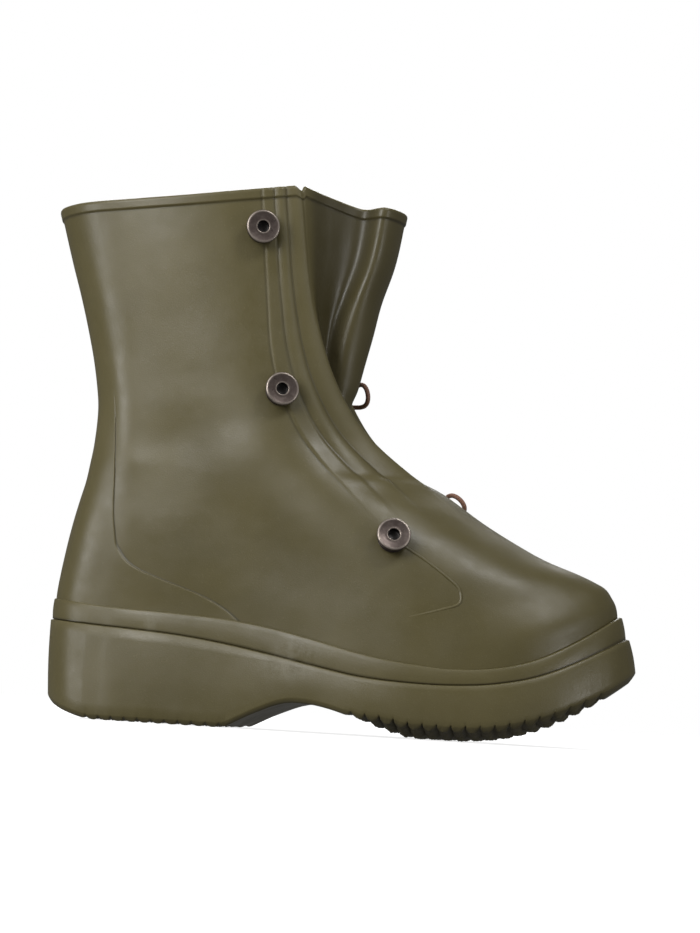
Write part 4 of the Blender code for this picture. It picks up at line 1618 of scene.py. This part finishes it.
@dataclass(frozen=True)
class StudPlace:
    """Where a stud stands in side view, how far off the wall, and how its loop lies."""

    name: str
    x: float
    z: float
    seat: float
    loop_angle: float


STUDS = [
    StudPlace("top", 106.7, 267.1, 1.0, 0.0),
    StudPlace("middle", 121.8, 179.9, 1.0, 14.0),
    StudPlace("low", 187.2, 104.0, 0.4, 46.0),
]


@dataclass(frozen=True)
class TurnPoint:
    """A point of a turned profile, with its lighter edge of rub and painted sheen, and its painted shade."""

    radius: float
    height: float
    ridge: float = 0.0
    groove: float = 0.0


# On the stud the rim's ridge is rub and painted sheen, and the groove under the disc, on the base flange and
# in the hole is painted shade.
STUD_PROFILE = [
    TurnPoint(0, 0), TurnPoint(7.6, 0, 0, 0.7), TurnPoint(8.0, 0.35, 0, 0.7),
    TurnPoint(8.0, 0.85, 0, 0.6), TurnPoint(7.7, 1.2, 0, 0.6), TurnPoint(4.0, 1.2, 0, 0.8),
    TurnPoint(3.6, 1.6, 0, 0.9), TurnPoint(3.6, 4.5, 0, 0.9), TurnPoint(4.0, 4.9, 0, 0.8),
    TurnPoint(8.4, 4.9, 0, 0.5), TurnPoint(8.85, 5.1, 0, 0.4), TurnPoint(9.0, 5.5, 0, 0.4),
    TurnPoint(9.0, 6.2, 0, 0.3), TurnPoint(8.9, 6.6, 0.3), TurnPoint(8.65, 6.9, 1.0),
    TurnPoint(8.3, 7.06, 1.0), TurnPoint(7.9, 7.08, 0.5), TurnPoint(7.5, 6.98),
    TurnPoint(6.6, 6.86), TurnPoint(5.2, 6.68), TurnPoint(4.3, 6.58),
    TurnPoint(3.9, 6.60, 0.2), TurnPoint(3.6, 6.64, 0.7), TurnPoint(3.35, 6.58, 0.6),
    TurnPoint(3.15, 6.40, 0.2, 0.3), TurnPoint(3.08, 6.0, 0, 0.8), TurnPoint(3.05, 5.2, 0, 1.0),
    TurnPoint(3.05, 3.6, 0, 1.0), TurnPoint(2.6, 3.4, 0, 1.0), TurnPoint(0, 3.4, 0, 1.0),
]


@dataclass
class Fastening:
    """One stud on each flap, and on the inner flap the elastic loop crimped to its neck."""

    last: Last
    place: StudPlace
    sides: int = 56
    neck_radius: float = 3.6
    cord_diameter: float = 2.7
    cord_height: float = 3.0
    ferrule_length: float = 9.0
    ferrule_width: float = 6.4
    ferrule_height: float = 3.0
    ferrule_rows: int = 26
    ferrule_sides: int = 32
    ferrule_squareness: float = 0.55
    roll_depth: float = 0.16
    roll_width: float = 0.035
    roll_wear: float = 0.7
    wear_at: float = 0.05
    wear_width: float = 0.03
    dents: tuple[float, float] = (0.34, 0.66)
    dent_depth: float = 0.13
    dent_width: float = 0.07
    loop_length: float = 28.0
    loop_half_width: float = 7.0
    loop_points: int = 17
    loop_fall: float = 0.009
    loop_roundness: float = 0.8
    loop_pinch: float = 0.35
    strand_offset: float = 1.55
    braid_sides: int = 20
    braid_step: float = 0.3
    braid_depth: float = 0.09
    braid_threads: int = 5
    braid_pitch: float = 2.6
    braid_darkening: float = 0.8

    def stand(self, side: Side, angle: float) -> Matrix:
        """Frame of a stud, whose Z is the wall's normal and whose X lies along the wall.

        Args:
            side: which flap.
            angle: how far X is turned above level, in degrees.

        Returns:
            The frame, in metres.
        """
        level, place = self.last.locate(self.place.x, self.place.z)
        at = [place if side is Side.OUTER else self.last.around - place]
        point, normal = self.last.ring(level, at)[0], self.last.outward(level, at)[0]
        up = np.array([0.0, 0.0, 1.0]) - normal * normal[2]
        up = up / np.linalg.norm(up)
        ahead = np.cross(up, normal)
        ahead = ahead * math.copysign(1.0, ahead[0])
        lie = ahead * math.cos(math.radians(angle)) + up * math.sin(math.radians(angle))
        columns = np.column_stack([lie, np.cross(normal, lie), normal])
        made = Matrix(columns.tolist()).to_4x4()
        made.translation = Vector((point + normal * self.place.seat - ORIGIN) * MM)
        return made

    def placed(self, stand: Matrix, points: np.ndarray) -> np.ndarray:
        """Points of a stud's frame, in millimetres of the boot's frame."""
        turn = np.array(stand.to_3x3())
        return np.asarray(points, float) @ turn.T + np.array(stand.translation) / MM

    def ring_radius(self) -> float:
        """Radius of the cord's turn round the neck."""
        return self.neck_radius + GAP + self.cord_diameter / 2

    def ferrule_start(self) -> float:
        """Where the crimp starts along the loop."""
        return self.ring_radius() + self.cord_diameter / 2 + GAP

    def build_stud(self, side: Side, finish: bpy.types.Material) -> bpy.types.Object:
        """Turns one stud.

        Args:
            side: which flap it stands on.
            finish: the metal's material.

        Returns:
            The new object.
        """
        angle = 0.0 if side is Side.OUTER else self.place.loop_angle
        points, faces, rings, ridges, grooves = [], [], [], [], []
        for row in STUD_PROFILE:
            sides = 1 if row.radius == 0 else self.sides
            rings.append(list(range(len(points), len(points) + sides)))
            for j in range(sides):
                turn = 2 * math.pi * j / sides
                points.append((row.radius * math.cos(turn), row.radius * math.sin(turn), row.height))
                ridges.append(row.ridge)
                grooves.append(row.groove)
        for low, high in zip(rings, rings[1:]):
            for j in range(self.sides):
                loop = [low[j % len(low)], low[(j + 1) % len(low)],
                        high[(j + 1) % len(high)], high[j % len(high)]]
                faces.append(tuple(dict.fromkeys(loop)))
        name = f"stud_{side.name.lower()}_{self.place.name}"
        made = add_piece(f"turned_{name}", self.placed(self.stand(side, angle), points), faces, finish,
                         smooth_angle=50.0)
        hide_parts(name)
        keep_marks(made, {Mark.RIDGE: np.array(ridges), Mark.GROOVE: np.array(grooves)})
        return made

    def build_crimp(self, finish: bpy.types.Material) -> bpy.types.Object:
        """Builds the crimp as a rounded sleeve with rolled ends and two pressed dents.

        Args:
            finish: the crimp's material.

        Returns:
            The new object.
        """
        rows, sides = self.ferrule_rows, self.ferrule_sides
        points, faces, ridges = [], [], []
        for k in range(rows):
            u = k / (rows - 1)
            end = min(u, 1 - u)
            size = 1 - self.roll_depth * math.exp(-((end / self.roll_width) ** 2))
            pressed = sum(math.exp(-(((u - at) / self.dent_width) ** 2)) for at in self.dents)
            dent = self.dent_depth * pressed
            lightening = self.roll_wear * math.exp(-(((end - self.wear_at) / self.wear_width) ** 2))
            x = self.ferrule_start() + u * self.ferrule_length
            for j in range(sides):
                turn = 2 * math.pi * j / sides
                c, s = math.cos(turn), math.sin(turn)
                wide = math.copysign(abs(c) ** self.ferrule_squareness, c) * size
                high = math.copysign(abs(s) ** self.ferrule_squareness, s) * (size - dent * abs(s))
                points.append((x, wide * self.ferrule_width / 2,
                               self.cord_height + high * self.ferrule_height / 2))
                ridges.append(lightening)
        for k in range(rows - 1):
            faces += strip_faces(k * sides, (k + 1) * sides, sides)
        faces.append(tuple(range(sides - 1, -1, -1)))
        faces.append(tuple(range((rows - 1) * sides, rows * sides)))
        stand = self.stand(Side.INNER, self.place.loop_angle)
        name = f"ferrule_{self.place.name}"
        made = add_piece(f"crimped_{name}", self.placed(stand, points), faces, finish,
                         smooth_angle=45.0)
        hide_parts(name)
        keep_marks(made, {Mark.RIDGE: np.array(ridges), Mark.GROOVE: np.zeros(len(points))})
        return made

    def braid(self, name: str, route: np.ndarray, closed: bool,
              finish: bpy.types.Material) -> bpy.types.Object:
        """Builds a braided cord along a route.

        Args:
            name: the piece's name.
            route: close points of its middle line, in millimetres of the boot's frame.
            closed: whether it is a ring.
            finish: the cord's material.

        Returns:
            The new object.
        """
        if closed:
            along = np.roll(route, -1, axis=0) - np.roll(route, 1, axis=0)
        else:
            along = np.gradient(route, axis=0)
        along = along / np.linalg.norm(along, axis=1)[:, None]
        steps = np.linalg.norm(np.diff(route, axis=0), axis=1)
        reach = np.concatenate([[0.0], np.cumsum(steps)])
        hint = np.array(self.stand(Side.INNER, self.place.loop_angle).to_3x3())[:, 2]
        beside = np.cross(along, hint)
        beside = beside / np.linalg.norm(beside, axis=1)[:, None]
        above = np.cross(beside, along)
        points, recess_dark = [], []
        for k, middle in enumerate(route):
            phase = 2 * math.pi * reach[k] / self.braid_pitch
            for j in range(self.braid_sides):
                turn = 2 * math.pi * j / self.braid_sides
                wound = self.braid_threads * turn
                weave = math.sin(wound + phase) * math.sin(wound - phase)
                radius = self.cord_diameter / 2 - self.braid_depth * (0.5 - 0.5 * weave)
                points.append(middle + radius * (math.cos(turn) * beside[k] + math.sin(turn) * above[k]))
                # Darker where the weave dips.
                recess_dark.append(max(0.0, -weave) * self.braid_darkening)
        count, sides = len(route), self.braid_sides
        faces = []
        for k in range(count if closed else count - 1):
            strip = strip_faces(k * sides, (k + 1) % count * sides, sides)
            faces += [tuple(reversed(face)) for face in strip]
        if not closed:
            faces.append(tuple(range(sides)))
            faces.append(tuple(range(count * sides - 1, (count - 1) * sides - 1, -1)))
        made = add_piece(name, np.array(points), faces, finish, smooth_angle=70.0)
        keep_marks(made, {Mark.GROOVE: np.array(recess_dark)})
        return made

    def loop_route(self) -> np.ndarray:
        """The free loop's route, as the solids have it.

        Returns:
            Points in the stud's frame.
        """
        start = self.ferrule_start() + self.ferrule_length + GAP
        route = []
        for q in np.linspace(0, 1, self.loop_points):
            turn = math.pi * q
            ahead = math.sin(turn) ** self.loop_roundness
            spread = math.sin(2 * turn) * (self.loop_pinch + (1 - self.loop_pinch) * ahead)
            side = self.strand_offset * math.cos(turn) * (1 - ahead) + self.loop_half_width * spread
            x = start + self.loop_length * ahead
            route.append((x, side, self.cord_height - self.loop_fall * (x - start) ** 2))
        return np.array(route)

    def build_cords(self, finish: bpy.types.Material) -> None:
        """Builds the turn round the neck and the free loop.

        Args:
            finish: the cord's material.
        """
        stand = self.stand(Side.INNER, self.place.loop_angle)
        turn_steps = int(2 * math.pi * self.ring_radius() / self.braid_step)
        turns = np.linspace(0, 2 * math.pi, turn_steps, endpoint=False)
        ring = np.column_stack([np.cos(turns), np.sin(turns), np.zeros(turn_steps)]) * self.ring_radius()
        ring[:, 2] = self.cord_height
        made = self.braid(f"braided_neck_{self.place.name}", self.placed(stand, ring), True, finish)
        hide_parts(f"neck_cord_{self.place.name}")
        route = self.loop_route()
        knots = np.concatenate([[0.0], np.cumsum(np.linalg.norm(np.diff(route, axis=0), axis=1))])
        fine = smooth(knots, route, np.linspace(0, knots[-1], int(knots[-1] / self.braid_step)))
        fine = self.placed(stand, fine)
        made = self.braid(f"braided_loop_{self.place.name}", fine, False, finish)
        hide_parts(f"loop_{self.place.name}")

    def build(self, metal: bpy.types.Material, elastic: bpy.types.Material,
              crimp: bpy.types.Material) -> None:
        """Builds the studs, the crimp and the cords.

        Args:
            metal: the studs' material.
            elastic: the cords' material.
            crimp: the crimp's material.
        """
        self.build_stud(Side.OUTER, metal)
        self.build_stud(Side.INNER, metal)
        self.build_crimp(crimp)
        self.build_cords(elastic)


# Studio

@dataclass(frozen=True)
class SoftBox:
    """A large soft light, aimed at the boot."""

    name: str
    place: tuple[float, float, float]
    size: tuple[float, float]
    power: float


@dataclass
class Studio:
    """Pale floor, soft light and the camera at the photograph's angle, held at floor level."""

    azimuth: float = 7.5
    roll: float = 3.5
    distance: float = 1.25
    camera_height: float = 0.012
    aim: tuple[float, float, float] = (0.004, 0.0, 0.146)
    frame_height: float = 0.512
    sensor: float = 36.0
    clip: tuple[float, float] = (0.01, 50.0)
    floor_half: float = 6.0
    sky: tuple[float, float, float] = (1.0, 1.0, 1.0)
    sky_strength: float = 0.14
    boxes: tuple[SoftBox, ...] = (
        SoftBox("key_light", (-0.42, -0.68, 0.66), (1.0, 0.65), 4.0),
        SoftBox("quarter_light", (-0.52, -0.90, 0.46), (0.45, 0.38), 4.0),
        SoftBox("instep_light", (0.70, -0.62, 1.15), (0.35, 0.35), 6.0),
        SoftBox("heel_light", (-1.5, -0.75, 0.12), (0.45, 0.5), 7.5),
        SoftBox("toe_light", (1.5, -0.75, 0.12), (0.25, 0.5), 4.2),
        SoftBox("back_light", (-0.2, 1.50, 1.60), (1.2, 0.9), 26.0),
    )

    def build(self) -> None:
        """Builds floor, lights, sky and camera."""
        self.build_floor()
        for box in self.boxes:
            self.build_light(box)
        world = bpy.data.worlds.new("studio_sky")
        world.use_nodes = True
        nodes, links = world.node_tree.nodes, world.node_tree.links
        light, seen = nodes["Background"], nodes.new("ShaderNodeBackground")
        for sky, strength in ((light, self.sky_strength), (seen, 1.0)):
            sky.inputs["Color"].default_value = (*self.sky, 1.0)
            sky.inputs["Strength"].default_value = strength
        choice, path = nodes.new("ShaderNodeMixShader"), nodes.new("ShaderNodeLightPath")
        links.new(path.outputs["Is Camera Ray"], choice.inputs[0])
        links.new(light.outputs[0], choice.inputs[1])
        links.new(seen.outputs[0], choice.inputs[2])
        links.new(choice.outputs[0], nodes["World Output"].inputs["Surface"])
        bpy.context.scene.world = world
        bpy.context.scene.view_settings.view_transform = "Standard"
        self.build_camera()

    def build_floor(self) -> None:
        """Builds the floor, which isn't part of the boot."""
        half = self.floor_half
        mesh = bpy.data.meshes.new("studio_floor")
        corners = [(-half, -half, 0.0), (half, -half, 0.0), (half, half, 0.0), (-half, half, 0.0)]
        mesh.from_pydata(corners, [], [(0, 1, 2, 3)])
        mesh.materials.append(FloorFinish().material())
        floor = bpy.data.objects.new("studio_floor", mesh)
        floor.visible_diffuse = floor.visible_glossy = False
        bpy.context.scene.collection.objects.link(floor)

    def build_light(self, box: SoftBox) -> None:
        """Builds one soft light.

        Args:
            box: its place, size and power.
        """
        light = bpy.data.lights.new(box.name, "AREA")
        light.shape = "RECTANGLE"
        light.size, light.size_y = box.size
        light.energy = box.power
        made = bpy.data.objects.new(box.name, light)
        made.location = box.place
        made.rotation_mode = "QUATERNION"
        made.rotation_quaternion = (Vector(self.aim) - Vector(box.place)).to_track_quat("-Z", "Y")
        bpy.context.scene.collection.objects.link(made)

    def build_camera(self) -> None:
        """Builds the camera, just above the floor and rolled as the photograph is."""
        data = bpy.data.cameras.new("studio_camera")
        data.sensor_width = self.sensor
        data.lens = self.sensor * self.distance / self.frame_height
        data.clip_start, data.clip_end = self.clip
        camera = bpy.data.objects.new("studio_camera", data)
        aim = Vector(self.aim)
        turn = math.radians(self.azimuth)
        drop = aim.z - self.camera_height
        level = math.sqrt(self.distance**2 - drop**2)
        camera.location = Vector((aim.x + math.sin(turn) * level, aim.y - math.cos(turn) * level,
                                  self.camera_height))
        camera.rotation_mode = "QUATERNION"
        look = (aim - camera.location).to_track_quat("-Z", "Y")
        roll = Matrix.Rotation(math.radians(self.roll), 3, "Z").to_quaternion()
        camera.rotation_quaternion = look @ roll
        bpy.context.scene.collection.objects.link(camera)
        bpy.context.scene.camera = camera


def main() -> None:
    """Builds the boot's pieces in order, then the studio."""
    logging.basicConfig(level=logging.INFO, format="%(name)s %(message)s")
    last = Last()
    rubber = RubberFinish().material()
    metal = GUNMETAL.material()
    crimp = DARK_CRIMP.material()
    elastic = ElasticFinish().material()
    Studio().build()
    for place in STUDS:
        Fastening(last, place).build(metal, elastic, crimp)
    Upper(last).build(rubber)
    Sole(last).build(rubber)
    for side in Side:
        Bead(last).build(side, rubber)


if __name__ == "__main__":
    main()
